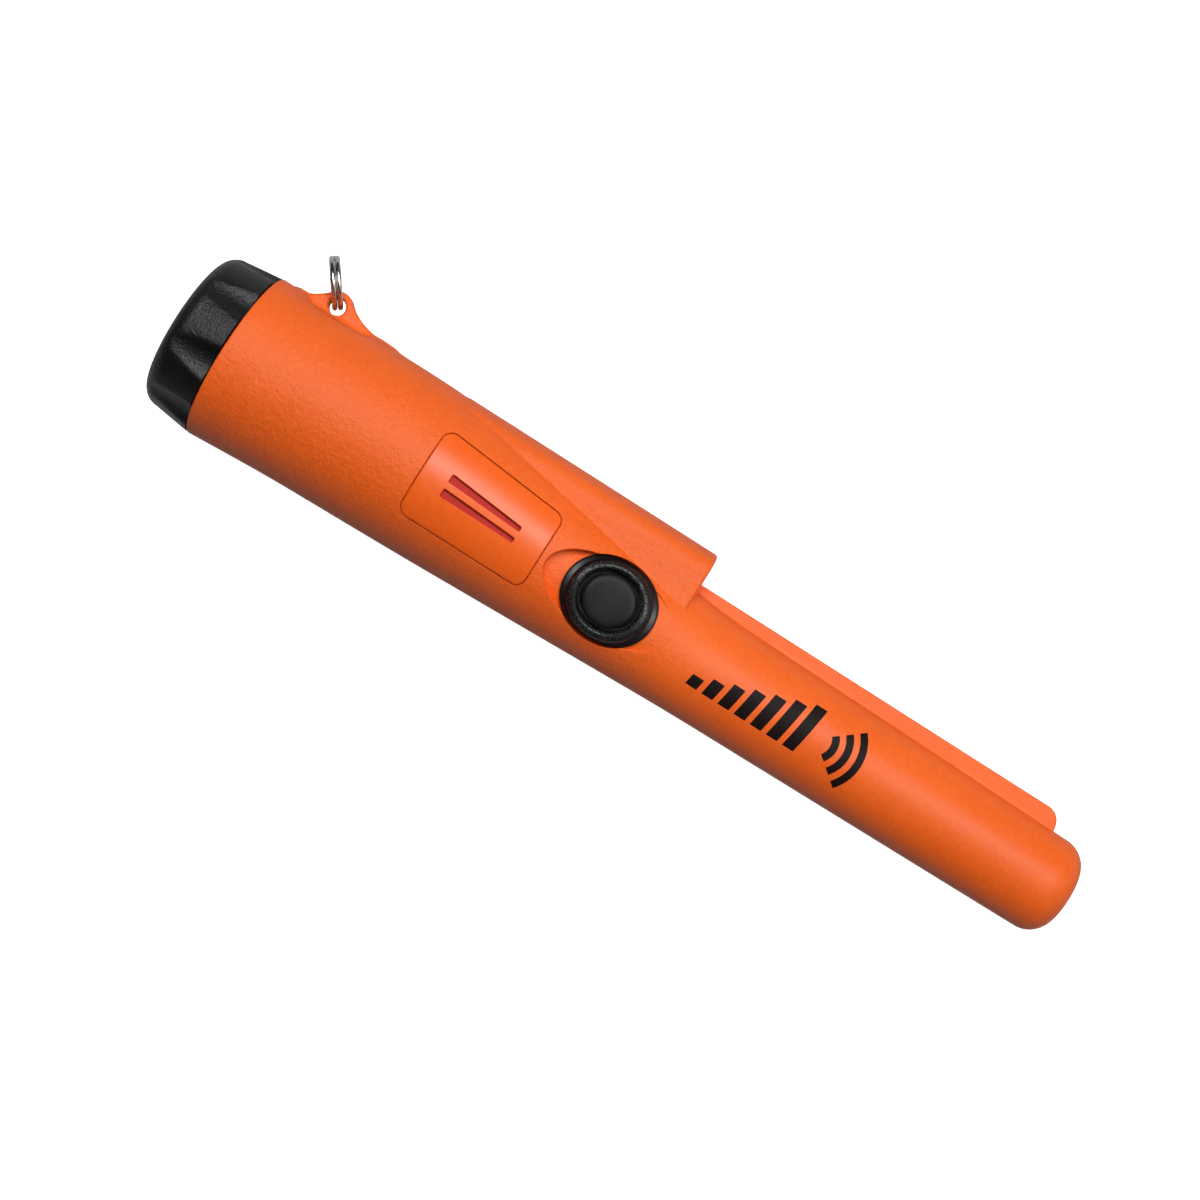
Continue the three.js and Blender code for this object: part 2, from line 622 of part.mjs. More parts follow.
// Bends a piece that was made flat, with its height in z, round the pad's cylinder.
function wrapped(geometry) {
  return reshape(geometry, (p) => {
    const angle = p.y / PAD_R;
    const radius = PAD_R + p.z;
    p.set(p.x + buttonX, padY + radius * Math.sin(angle), radius * Math.cos(angle));
  });
}

function buttonBoot() {
  const path = new THREE.Path().moveTo(0.2, BOOT_RING.inner).lineTo(0.2, BOOT_R - 0.2).lineTo(0.5, BOOT_R);
  path.lineTo(BOOT_FLANGE_HEIGHT, BOOT_R - 0.5).lineTo(BOOT_FLANGE_HEIGHT, BOOT_RING.outer + 0.5);
  const middle = (BOOT_RING.inner + BOOT_RING.outer) / 2;
  path.quadraticCurveTo(BOOT_RING.height, BOOT_RING.outer, BOOT_RING.height, middle);
  path.quadraticCurveTo(BOOT_RING.height, BOOT_RING.inner, BOOT_RING.height - 0.9, BOOT_RING.inner);
  path.lineTo(0.2, BOOT_RING.inner);
  return wrapped(turned(path, 36, 3).rotateY(-Math.PI / 2));
}

const switchTop = 5.6;
const plungerTop = switchTop + 1.3;

function pushButton() {
  const bottom = plungerTop + GAP - PAD_R;
  const path = new THREE.Path().moveTo(bottom, 0).lineTo(bottom, 1.7).lineTo(-1.9, 2.2).lineTo(-1.9, BUTTON_SKIRT_R);
  path.lineTo(-0.9, BUTTON_SKIRT_R).lineTo(-0.7, BUTTON_R).lineTo(1.3, BUTTON_R);
  path.quadraticCurveTo(1.75, BUTTON_R, 1.8, BUTTON_R - 0.7).lineTo(1.55, 3.4).lineTo(1.1, 0);
  return wrapped(turned(path, 36, 3).rotateY(-Math.PI / 2));
}

add("button_boot", buttonBoot(), rubber);
add("push_button", pushButton(), rubber);
add("switch_plunger", postAlongZ(buttonX, padY, switchTop - 1.6, plungerTop, 1.6, 24), chipBlack);

function switchBody() {
  const [x, y] = [buttonX, padY];
  const well = postAlongZ(x, y, switchTop - 2.6, switchTop + 1, 1.6 + GAP, 24);
  return cut(block(x - 3, x + 3, y - 3, y + 3, boardTop, switchTop), well);
}

add("switch_body", switchBody(), chipBlack);

// ---- Lamp ----

const lensX = hoodFrontX - LENS_THICKNESS - 0.1;
const lampX = lensX - GAP - LAMP_LENGTH;

function lamp() {
  const domeX = lampX + LAMP_LENGTH - 2.4;
  const path = new THREE.Path().moveTo(lampX, 0).lineTo(lampX, LAMP_R).lineTo(lampX + 1, LAMP_R);
  path.lineTo(lampX + 1, 2.4).lineTo(domeX, 2.4).absarc(domeX, 0, 2.4, Math.PI / 2, 0, true);
  return turned(path, 20, 3).translate(0, lampY, 0);
}

add("led", lamp(), clearPlastic);
const lensFlat = lensX + LENS_THICKNESS - 0.5;
add("led_lens", turnedPoints([[lensX, 0], [lensX, LAMP_R], [lensFlat, LAMP_R], [lensFlat + 0.35, LAMP_R - 0.6],
  [lensFlat + 0.5, 0]], 24).translate(0, lampY, 0), clearPlastic);

// ---- Carrier and circuit board ----

const boardScrews = [boardX + 4.5, boardEndX - 5];
const trayTop = -TRAY_DROP;
const wireHolesY = [GRIP_OFFSET - 5, GRIP_OFFSET + 5];

function carrier() {
  const disc = rodAlongX(bulkheadX, bulkheadX + BULKHEAD_THICKNESS, bayR - GAP, 48).translate(0, GRIP_OFFSET, 0);
  const floor = block(bulkheadX + 0.5, trayEndX, BOARD_Y - TRAY_WIDTH / 2, BOARD_Y + TRAY_WIDTH / 2,
    trayTop - TRAY_THICKNESS, trayTop);
  const rails = [-1, 1].map((side) => {
    const y = BOARD_Y + (side * (TRAY_WIDTH - RAIL_THICKNESS)) / 2;
    return block(boardX + 2, trayEndX - 1, y - RAIL_THICKNESS / 2, y + RAIL_THICKNESS / 2, trayTop - 0.2, -GAP);
  });
  const standoffs = boardScrews.map((x) => postAlongZ(x, 0, trayTop - TRAY_THICKNESS, -GAP, STANDOFF_R, 24));
  const pilots = boardScrews.map((x) => postAlongZ(x, 0, trayTop - TRAY_THICKNESS - 1, 1, SCREW.holeR, 16));
  const passes = bosses.map(([y, z]) => rodAlongX(bulkheadX - 1, bayFrontX, SCREW.passR, 16).translate(0, y, z));
  const holes = wireHolesY.map((y) => rodAlongX(bulkheadX - 1, bayFrontX, 1.3, 16).translate(0, y, 5));
  return cut(join(disc, floor, ...rails, ...standoffs), ...pilots, ...passes, ...holes);
}

function circuitBoard() {
  const outline = roundedRectangle(boardEndX - boardX, BOARD_WIDTH, 1, (boardX + boardEndX) / 2, BOARD_Y);
  const board = extrudedZ(outline, 0, BOARD_THICKNESS, 4);
  return cut(board, ...boardScrews.map((x) => postAlongZ(x, 0, -1, 3, SCREW.passR, 16)));
}

add("electronics_carrier", carrier(), carrierPlastic);
add("circuit_board", circuitBoard(), boardGreen);

// A pan-head screw that points along +X, its head's seat at x = 0.
function screw(length) {
  const { headR, headHeight, shankR } = SCREW;
  const head = [[-headHeight + 0.6, 0], [-headHeight, 0.7], [-headHeight, headR - 0.5], [-headHeight + 0.4, headR]];
  return turnedPoints([...head, [0, headR], [0, shankR], [length - 0.8, shankR], [length, 0]], 14);
}

bosses.forEach(([y, z], i) => {
  const length = GAP + BULKHEAD_THICKNESS + GAP + BOSS_LENGTH - 2;
  add(`carrier_screw_${i + 1}`, screw(length).translate(bulkheadX - GAP, y, z), steel);
});
boardScrews.forEach((x, i) => {
  const length = GAP + BOARD_THICKNESS + GAP + TRAY_DROP;
  add(`board_screw_${i + 1}`, screw(length).rotateY(Math.PI / 2).translate(x, 0, BOARD_THICKNESS + GAP), steel);
});

// A chip's body with gull-wing leads down its two long sides.
function chip(x, y, length, width, leads) {
  const body = block(x - length / 2, x + length / 2, y - width / 2, y + width / 2, boardTop + 0.2, boardTop + 1.6);
  const pitch = length / leads;
  const pins = [];
  for (let i = 0; i < leads; i++) {
    const at = x - length / 2 + (i + 0.5) * pitch;
    const half = width / 2 + 0.8;
    pins.push(block(at - pitch / 5, at + pitch / 5, y - half, y + half, boardTop, boardTop + 0.5));
  }
  return join(body, ...pins);
}

add("microcontroller", chip(buttonX + 13, -1.5, 8, 7, 8), chipBlack);
add("audio_amplifier", chip(buttonX - 10, -3.5, 5, 4, 4), chipBlack);

function capacitor(x, y) {
  const [radius, height] = [2.4, 5.4];
  return discAt(x, y, boardTop, [[0, 0], [0, radius], [0.9, radius], [1.1, radius - 0.25], [1.3, radius],
    [height - 0.3, radius], [height, radius - 0.3], [height, 0]], 24);
}

add("filter_capacitor_1", capacitor(buttonX - 9.5, 4.6), tin);
add("filter_capacitor_2", capacitor(buttonX - 15.5, 4.6), tin);
add("timing_crystal", extrudedX(roundedRectangle(3.4, 3, 1, 6.4, boardTop + 1.5), buttonX + 9, buttonX + 17, 3), tin);

// ---- Vibration motor ----

add("vibration_motor", tubeAlongX(motorX, motorX + MOTOR_LENGTH, MOTOR_R, SHAFT_R + GAP, 32)
  .translate(0, 0, motorZ), tin);
add("motor_shaft", rodAlongX(motorX + 1, motorX + MOTOR_LENGTH + 1.2 + WEIGHT_LENGTH, SHAFT_R, 16)
  .translate(0, 0, motorZ), steel);

// A half disc, bored for the shaft.
function eccentricWeight() {
  const x0 = motorX + MOTOR_LENGTH + 1;
  const shape = new THREE.Shape().absarc(0, 0, WEIGHT_R, -0.15, Math.PI + 0.15);
  shape.absarc(0, 0, 1.4, Math.PI + 0.9, 2 * Math.PI - 0.9);
  const bore = new THREE.Path().absarc(0, 0, SHAFT_R + 0.1, 0, 2 * Math.PI);
  shape.holes.push(bore);
  return extrudedX(shape, x0, x0 + WEIGHT_LENGTH, 10).translate(0, 0, motorZ);
}

add("eccentric_weight", eccentricWeight(), brass);

// ---- Search coil ----

const bobbinEndX = bobbinX + BOBBIN_LENGTH;
const boreAt = (x) => along([[neckX, NECK_R - TUBE_WALL], [-TIP_WALL, TIP_R - TUBE_WALL]], x);
const barrelR = ROD_R + GAP + BOBBIN_WALL;
const coilWireZ = barrelR + GAP + 0.9;
const coilWiresY = [-2.6, 2.6];

function bobbin() {
  const [rear, front] = [bobbinX + FLANGE_THICKNESS, bobbinEndX - FLANGE_THICKNESS];
  const reel = turnedPoints([
    [bobbinX, ROD_R + GAP],
    [bobbinX, boreAt(rear) - GAP],
    [rear, boreAt(rear) - GAP],
    [rear, barrelR],
    [front, barrelR],
    [front, boreAt(bobbinEndX) - GAP],
    [bobbinEndX, boreAt(bobbinEndX) - GAP],
    [bobbinEndX, ROD_R + GAP],
    [bobbinX, ROD_R + GAP],
  ], 48);
  const notch = (y) => block(bobbinX - 1, rear + 0.5, y - 0.8, y + 0.8, coilWireZ - 0.8, coilWireZ + 0.8);
  return cut(reel, ...coilWiresY.map(notch));
}

add("coil_bobbin", bobbin(), carrierPlastic);
add("search_coil", tubeAlongX(bobbinX + FLANGE_THICKNESS + GAP, bobbinEndX - FLANGE_THICKNESS - GAP,
  barrelR + GAP + WINDING, barrelR + GAP, 40), copper);
const rodEndX = -TIP_WALL - TIP_FOAM - 2 * GAP;
add("ferrite_rod", rodAlongX(rodEndX - ROD_LENGTH, rodEndX, ROD_R, 40), ferrite);
add("tip_foam", rodAlongX(-TIP_WALL - GAP - TIP_FOAM, -TIP_WALL - GAP, ROD_R, 32), foam);

// ---- Battery and its contacts ----

const battery = new THREE.Group();
battery.position.set(0, GRIP_OFFSET, 0);
probe.add(battery);

function addToBattery(name, geometry, finish) {
  const mesh = new THREE.Mesh(geometry, finish);
  mesh.name = name;
  battery.add(mesh);
}

const plusY = TERMINAL_SPACING / 2;
addToBattery("battery", extrudedX(roundedRectangle(BATTERY_WIDTH, BATTERY_DEPTH, BATTERY_CORNER_R), batteryX,
  batteryX + BATTERY_LENGTH, 4), batterySkin);
const terminalEndX = terminalX + TERMINAL_HEIGHT;
const stud = [[terminalX, 0], [terminalX, 3.2], [terminalX + 0.4, 2.8], [terminalEndX - 0.3, 2.9],
  [terminalEndX, 2.6], [terminalEndX, 0]];
const socket = [[terminalX, 0], [terminalX, 4.1], [terminalEndX, 4.3], [terminalEndX, 3.1],
  [terminalX + 0.5, 3.1], [terminalX + 0.5, 0]];
addToBattery("battery_positive_terminal", turnedPoints(stud, 24).translate(0, plusY, 0), tin);
addToBattery("battery_negative_terminal", turnedPoints(socket, 12).translate(0, -plusY, 0), tin);

function contactPlate() {
  const disc = rodAlongX(plateX, plateX + PLATE_THICKNESS, bayR - 3 * GAP, 48).translate(0, GRIP_OFFSET, 0);
  const passes = bosses.map(([y, z]) => rodAlongX(plateX - 1, bulkheadX, SCREW.headR + GAP, 20).translate(0, y, z));
  const holes = wireHolesY.map((y) => rodAlongX(plateX - 1, bulkheadX, 0.9, 16).translate(0, y, 5));
  return cut(disc, ...passes, ...holes);
}

add("contact_plate", contactPlate(), boardGreen);

// A bowed leaf whose feet rest on the contact plate and whose crown meets the terminal.
function contactLeaf(y) {
  const thickness = 0.35;
  const [foot, crown] = [plateX - GAP / 2, contactX];
  const shape = new THREE.Shape().moveTo(foot, -3.4).lineTo(foot, -2.6);
  shape.quadraticCurveTo(crown + thickness, -1.8, crown + thickness, 0);
  shape.quadraticCurveTo(crown + thickness, 1.8, foot, 2.6).lineTo(foot, 3.4).lineTo(foot - thickness, 3.4);
  shape.lineTo(foot - thickness, 2.8).quadraticCurveTo(crown, 1.9, crown, 0);
  shape.quadraticCurveTo(crown, -1.9, foot - thickness, -2.8).lineTo(foot - thickness, -3.4);
  return extrudedZ(shape, -1.3, 1.3, 5).translate(0, GRIP_OFFSET + y, 0);
}

add("positive_contact", contactLeaf(plusY), brass);
add("negative_contact", contactLeaf(-plusY), brass);

// ---- Battery cap ----

const capParts = new THREE.Group();
capParts.position.set(0, GRIP_OFFSET, 0);
probe.add(capParts);

function addToCap(name, geometry, finish) {
  const mesh = new THREE.Mesh(geometry, finish);
  mesh.name = name;
  capParts.add(mesh);
}

const grooveX = rimX + 0.7;
const padPocketX = rimX - 2.4;
const padPocketR = plugR - 2.8;

function capBlank() {
  const headR = rimR - GAP / 3;
  const rearR = headR - CAP_TAPER;
  const edgeX = capEndX + CAP_EDGE_R;
  const grooveR = plugR - GROOVE_DEPTH;
  const endX = rimX + PLUG_LENGTH;
  const path = new THREE.Path().moveTo(capEndX, 0).lineTo(capEndX, rearR - CAP_EDGE_R);
  path.absarc(edgeX, rearR - CAP_EDGE_R, CAP_EDGE_R, Math.PI, Math.PI / 2, true);
  path.lineTo(rimX - GAP, headR).lineTo(rimX - GAP, plugR).lineTo(grooveX, plugR).lineTo(grooveX, grooveR);
  path.lineTo(grooveX + O_RING_SECTION + 2 * SEAM, grooveR).lineTo(grooveX + O_RING_SECTION + 2 * SEAM, plugR);
  path.lineTo(endX - 0.6, plugR).lineTo(endX, plugR - 0.6).lineTo(endX, padPocketR).lineTo(padPocketX, padPocketR);
  path.lineTo(padPocketX, 0);
  return turned(path, 48, 3);
}

function flute(index) {
  const centreR = rimR - FLUTE_DEPTH + FLUTE_R - GAP / 3 - CAP_TAPER / 3;
  const turn = Math.PI / 2 - THREE.MathUtils.degToRad(LOBE_TURN) + ((index + 0.5) * 2 * Math.PI) / LOBES;
  const [x0, x1] = [capEndX - 1, rimX - GAP / 2];
  return rodAlongX(x0, x1, FLUTE_R, 28).translate(0, centreR * Math.cos(turn), centreR * Math.sin(turn));
}

function batteryCap() {
  const { length, width, depth } = COIN_SLOT;
  const slot = block(capEndX - 1, capEndX + depth, -length / 2, length / 2, -width / 2, width / 2);
  const flutes = Array.from({ length: LOBES }, (_, i) => flute(i));
  const ridge = threadRidge(plugR, threadCrestR, rimX + THREAD_START).translate(0, -GRIP_OFFSET, 0);
  return join(cut(capBlank(), slot, ...flutes), ridge);
}

addToCap("battery_cap", batteryCap(), capPlastic);

function oRing() {
  const r = O_RING_SECTION / 2;
  const middleR = plugR - GROOVE_DEPTH + SEAM + r;
  const section = new THREE.Path().absarc(grooveX + SEAM + r, middleR, r, 0, 2 * Math.PI, true);
  return turned(section, 36, 3);
}

addToCap("cap_o_ring", oRing(), rubber);
addToCap("cap_pressure_pad", rodAlongX(padPocketX + GAP, rimX + PLUG_LENGTH + PAD_PROUD, padPocketR - GAP, 40), foam);

// ---- Split ring ----

// Two turns side by side, with one step across between their ends.
function splitRing() {
  const section = new THREE.Shape().absarc(0, RING_R, RING_WIRE / 2, 0, 2 * Math.PI);
  const start = THREE.MathUtils.degToRad((360 - RING_OVERLAP) / 2);
  const end = 4 * Math.PI - start;
  const step = (angle) => THREE.MathUtils.smoothstep(angle, 2 * Math.PI - start, 2 * Math.PI + start);
  const axial = (angle) => RING_PITCH * (step(angle) - 0.5);
  return swept(section, start, end, 26, axial);
}

const ring = add("split_ring", splitRing(), steel);
const leanAngle = THREE.MathUtils.degToRad(180 - RING_LEAN);
ring.position.set(eyeX + RING_R * Math.cos(leanAngle), eyeY + RING_R * Math.sin(leanAngle), 0);
ring.rotation.set(0, THREE.MathUtils.degToRad(RING_TILT), leanAngle - Math.PI / 2, "ZYX");

// ---- Wiring ----

wireHolesY.forEach((y, i) => {
  const [name, colour] = i ? ["battery_wire_red", redWire] : ["battery_wire_black", blackWire];
  const end = i ? 5.5 : -5.5;
  add(name, wire([[plateX - 0.1, y, 5], [bulkheadX + 3, y, 5], [boardX + 1.5, end, 3.6], [boardX + 4, end, 2.6],
    [boardX + 7, end, boardTop + WIRE_R + 0.1]]), colour);
});
[-3, 3].forEach((dx, i) => {
  const x = speakerX + dx;
  add(`speaker_wire_${i + 1}`, wire([[x, speakerY, CUP_FLOOR_Z], [x, speakerY, 8], [x + 0.6, speakerY - 0.8, 5],
    [x, speakerY, boardTop]], 0.45, 8), i ? redWire : blackWire);
});
[lampX - 2.2, lampX - 0.9].forEach((x, i) => {
  const z = i ? 1.1 : -1.1;
  const coreY = topY - HOOD_ROOF;
  add(`lamp_wire_${i + 1}`, wire([[lampX - 2 * GAP, lampY + z, z / 2], [x, lampY - 1.5, z], [x, coreY - 1.5, z],
    [x, coreY - 4.5, 1.6], [x, coreY - 6.4, boardTop + 1.4], [x, coreY - 8.6, boardTop + WIRE_R + 0.1]], 0.4),
  i ? redWire : blackWire);
});
[-1, 1].forEach((side, i) => {
  add(`motor_wire_${i + 1}`, wire([[motorX - GAP, side * 1.5, motorZ], [motorX - 1.8, side * 1.7, motorZ - 0.4],
    [motorX - 2.6, side * 2, boardTop + 1], [motorX - 3, side * 2, boardTop]], 0.35, 8), i ? redWire : blackWire);
});
coilWiresY.forEach((y, i) => {
  const end = boardTop + 0.4;
  add(`coil_wire_${i + 1}`, wire([[bobbinX + FLANGE_THICKNESS, y, coilWireZ], [bobbinX - 2, y, coilWireZ],
    [bobbinX - 6, y, (coilWireZ + end) / 2], [boardEndX - 0.5, y, end], [boardEndX - 2, y, end]], 0.35), copper);
});

export default probe;
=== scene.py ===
"""Pinpointer probe: the visible pieces built round the fixed frame, in metres, in the order of assembly."""
import math

import bmesh
import bpy
import numpy as np
from mathutils import Matrix, Vector


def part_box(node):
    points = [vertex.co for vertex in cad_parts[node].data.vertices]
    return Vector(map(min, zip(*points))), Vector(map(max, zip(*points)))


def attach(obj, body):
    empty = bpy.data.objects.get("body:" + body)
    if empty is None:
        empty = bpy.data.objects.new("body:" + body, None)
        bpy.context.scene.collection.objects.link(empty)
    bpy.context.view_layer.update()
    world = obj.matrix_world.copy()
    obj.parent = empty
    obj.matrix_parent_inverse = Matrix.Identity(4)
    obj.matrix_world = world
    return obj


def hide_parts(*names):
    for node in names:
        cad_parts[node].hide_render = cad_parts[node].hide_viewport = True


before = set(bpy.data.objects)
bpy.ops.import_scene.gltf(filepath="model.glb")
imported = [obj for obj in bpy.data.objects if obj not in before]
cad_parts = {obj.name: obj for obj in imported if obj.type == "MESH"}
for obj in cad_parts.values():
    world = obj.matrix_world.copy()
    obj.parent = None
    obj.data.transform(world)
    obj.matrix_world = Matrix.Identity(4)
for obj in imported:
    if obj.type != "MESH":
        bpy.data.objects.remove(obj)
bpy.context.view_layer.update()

# ---- Camera and display ----
# The camera looks straight down on the button, with the probe lying 32.5 degrees across the picture.
camera_data = bpy.data.cameras.new("camera")
camera_data.lens = 76.4
camera_data.clip_start = 0.01
camera = bpy.data.objects.new("camera", camera_data)
camera.location = (-0.1205, 0.0004, 0.557)
camera.rotation_euler = (0, 0, math.radians(32.5))
bpy.context.scene.collection.objects.link(camera)
bpy.context.scene.camera = camera
bpy.context.scene.view_settings.view_transform = "Standard"

# ---- Floor and lamps ----
# A pale floor leans 2.35 degrees, so that the probe rests on the rim of its barrel and on its tip.
# A long soft lamp on the blade's side gives the sheen along the barrel, and two weak ones fill the shade.
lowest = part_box("body_housing")[0]
floor_slope = math.radians(2.35)
FLOOR_REACH = 3
floor_mesh = bpy.data.meshes.new("floor")
floor_mesh.from_pydata([(-FLOOR_REACH, -FLOOR_REACH, 0), (FLOOR_REACH, -FLOOR_REACH, 0),
                        (FLOOR_REACH, FLOOR_REACH, 0), (-FLOOR_REACH, FLOOR_REACH, 0)], [], [(0, 1, 2, 3)])
floor = bpy.data.objects.new("floor", floor_mesh)
floor.rotation_euler = (0, -floor_slope, 0)
floor.location = (lowest.x, 0, lowest.z - 0.0001)
bpy.context.scene.collection.objects.link(floor)
floor_paint = bpy.data.materials.new("pale_floor")
floor_paint.use_nodes = True
floor_shader = floor_paint.node_tree.nodes["Principled BSDF"]
floor_shader.inputs["Base Color"].default_value = (0.45, 0.45, 0.45, 1)
floor_shader.inputs["Roughness"].default_value = 0.9
floor_shader.inputs["Emission Color"].default_value = (1, 1, 1, 1)
seen_directly = floor_paint.node_tree.nodes.new("ShaderNodeLightPath").outputs["Is Camera Ray"]
floor_paint.node_tree.links.new(seen_directly, floor_shader.inputs["Emission Strength"])
floor_mesh.materials.append(floor_paint)


def soft_lamp(name, place, aim, size, power):
    lamp_data = bpy.data.lights.new(name, "AREA")
    lamp_data.shape = "RECTANGLE"
    lamp_data.size, lamp_data.size_y = size
    lamp_data.energy = power
    lamp = bpy.data.objects.new(name, lamp_data)
    lamp.location = place
    look = np.array(aim) - np.array(place)
    lamp.rotation_mode = "QUATERNION"
    lamp.rotation_quaternion = Vector(look).to_track_quat("-Z", "Y")
    bpy.context.scene.collection.objects.link(lamp)


soft_lamp("key", (-0.12, 0.30, 0.78), (-0.12, 0.0, 0.0), (0.9, 0.30), 8.0)
soft_lamp("top", (-0.12, 0.02, 0.95), (-0.12, 0.0, 0.0), (1.2, 0.4), 1.45)
soft_lamp("tip_fill", (0.6, 0.25, 0.35), (-0.05, 0.0, 0.0), (0.5, 0.5), 0.8)
world = bpy.data.worlds.new("studio")
world.use_nodes = True
sky = world.node_tree
direction = sky.nodes.new("ShaderNodeSeparateXYZ")
sky.links.new(sky.nodes.new("ShaderNodeTexCoord").outputs["Generated"], direction.inputs[0])
lit_side = sky.nodes.new("ShaderNodeMapRange")
lit_side.inputs["From Min"].default_value, lit_side.inputs["From Max"].default_value = -0.7, 0.9
lit_side.inputs["To Min"].default_value, lit_side.inputs["To Max"].default_value = 0.12, 0.42
sky.links.new(direction.outputs["Y"], lit_side.inputs["Value"])
seen = sky.nodes.new("ShaderNodeMix")
sky.links.new(sky.nodes.new("ShaderNodeLightPath").outputs["Is Camera Ray"], seen.inputs["Factor"])
sky.links.new(lit_side.outputs["Result"], seen.inputs["A"])
seen.inputs["B"].default_value = 0.95
sky.links.new(seen.outputs[0], sky.nodes["Background"].inputs["Strength"])
bpy.context.scene.world = world

# ---- Body housing ----
# One orange moulding: barrel, tapered tube, lamp hood, scraping blade and lanyard lug.
# Injection moulded in tough plastic, fine-grained on the grip, bored out from the rear.
MM = 0.001
RIM_X, TIP_X = lowest.x / MM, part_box("body_housing")[1].x / MM
TOP_Y = 22.385
HOOD_FRONT_X = -103.8
PAD_X, BUTTON_X, PAD_Y, PAD_R = -119.05, -118.75, 1.223, 12.9
COVER_X, COVER_LENGTH = -167.3, 31.2
EYE_X, EYE_Y = -203.2, 23.485
LAMP_Y = 18.585
GRIP_Y = 2.65
profile = [(RIM_X, 19.735, 2.65), (-197.0, 19.135, 3.25), (-164.0, 18.685, 3.70), (-96.4, 12.36, 0), (0, 10.88, 0)]
bend_reach = {-197.0: 8, -164.0: 12, -96.4: 9}


def eased(column):
    """The profile's radius or centre height as a smooth function of x."""
    points = [(p[0], p[column]) for p in profile]
    slopes = [(b[1] - a[1]) / (b[0] - a[0]) for a, b in zip(points, points[1:])]

    def value(x):
        total = points[0][1] + slopes[0] * (x - points[0][0])
        for (place, _), before, after in zip(points[1:-1], slopes, slopes[1:]):
            reach = bend_reach[place]
            t = x - place
            ramp = np.where(t <= -reach, 0, np.where(t >= reach, t, (t + reach) ** 2 / (4 * reach)))
            total = total + (after - before) * ramp
        return total
    return value


shell_radius, shell_height = eased(1), eased(2)


def rounded_common(a, b, r):
    return np.minimum(np.maximum(a, b), -r) + np.hypot(np.maximum(a + r, 0), np.maximum(b + r, 0))


def filleted_union(a, b, r):
    return np.maximum(np.minimum(a, b), r) - np.hypot(np.maximum(r - a, 0), np.maximum(r - b, 0))


def bezier(points, t):
    a, b, c, d = [np.array(p)[None, :] for p in points]
    t = t[:, None]
    return (1 - t) ** 3 * a + 3 * (1 - t) ** 2 * t * b + 3 * (1 - t) * t * t * c + t ** 3 * d


leave, arrive, LUG_R = math.pi * 0.22, math.pi * 0.8, 3.55
steps = np.linspace(0, 1, 30)
from_x, from_y = EYE_X + LUG_R * math.cos(leave), EYE_Y + LUG_R * math.sin(leave)
front_curve = bezier([(RIM_X + 28.7, TOP_Y - 0.2), (RIM_X + 22.7, TOP_Y + 0.1),
                      (from_x + 2.6, from_y - 2.4), (from_x, from_y)], steps)
boss = np.stack([EYE_X + LUG_R * np.cos(leave + (arrive - leave) * steps),
                 EYE_Y + LUG_R * np.sin(leave + (arrive - leave) * steps)], 1)
bend = np.array([RIM_X + 7.3, TOP_Y + 0.3])
rear_end = np.array([RIM_X + 4.3, TOP_Y - 0.2])
rear_curve = ((1 - steps)[:, None] ** 2 * boss[-1] + 2 * ((1 - steps) * steps)[:, None] * bend
              + steps[:, None] ** 2 * rear_end)
lug_line = np.concatenate([front_curve[:-1], boss[:-1], rear_curve])[::-1]
lug_line = np.concatenate([[[RIM_X + 3.9, TOP_Y - 2]], lug_line, [[RIM_X + 30, TOP_Y - 2]]])


def outside(x, y, z):
    """Below zero inside the moulding's outer form, above zero outside it."""
    across = np.abs(z)
    shell = np.hypot(y - shell_height(x), z) - shell_radius(x)
    dish = TOP_Y - 1.4 + 3.4 * (1 - np.clip((x - (EYE_X - 8.6)) / 4, 0, 1) ** 0.5
                                * np.clip((EYE_X + 13 - x) / 5, 0, 1) ** 0.5)
    shell = rounded_common(shell, y - dish, 0.5)
    lug_height = np.interp(x, lug_line[:, 0], lug_line[:, 1])
    lug_slope = np.interp(x, (lug_line[1:, 0] + lug_line[:-1, 0]) / 2,
                          np.diff(lug_line[:, 1]) / np.maximum(np.diff(lug_line[:, 0]), 1e-6))
    fin = (y - lug_height) / np.sqrt(1 + np.minimum(lug_slope ** 2, 9))
    near_lug = (x > RIM_X + 3) & (x < RIM_X + 31)
    lug = np.where(near_lug, rounded_common(fin, across - 2.2, 0.8), 9.0)
    lug = np.maximum(lug, 15 - y)
    body = np.where(near_lug, filleted_union(shell, lug, 1.6), shell)
    top = np.hypot(y - 3.7, z) - 18.685
    side = across - (10.7 - 0.0505 * (y - 3.7))
    ends = np.maximum(x - HOOD_FRONT_X, HOOD_FRONT_X - 65 - x)
    hood = rounded_common(rounded_common(top, side, 1.9), ends, 0.8)
    body = filleted_union(body, np.maximum(hood, 3.7 - y), 0.15)
    nose = rounded_common(x + 10, y - 15.1, 3.7)
    blade = rounded_common(nose, across - 1.5, 0.45)
    blade = np.maximum(np.maximum(blade, HOOD_FRONT_X - 3 - x), 5 - y)
    body = filleted_union(body, blade, 0.12)
    return rounded_common(body, x - TIP_X, 6)


def span(start, end, step):
    return np.linspace(start, end, max(2, int(round(abs(end - start) / step)) + 1))[:-1]


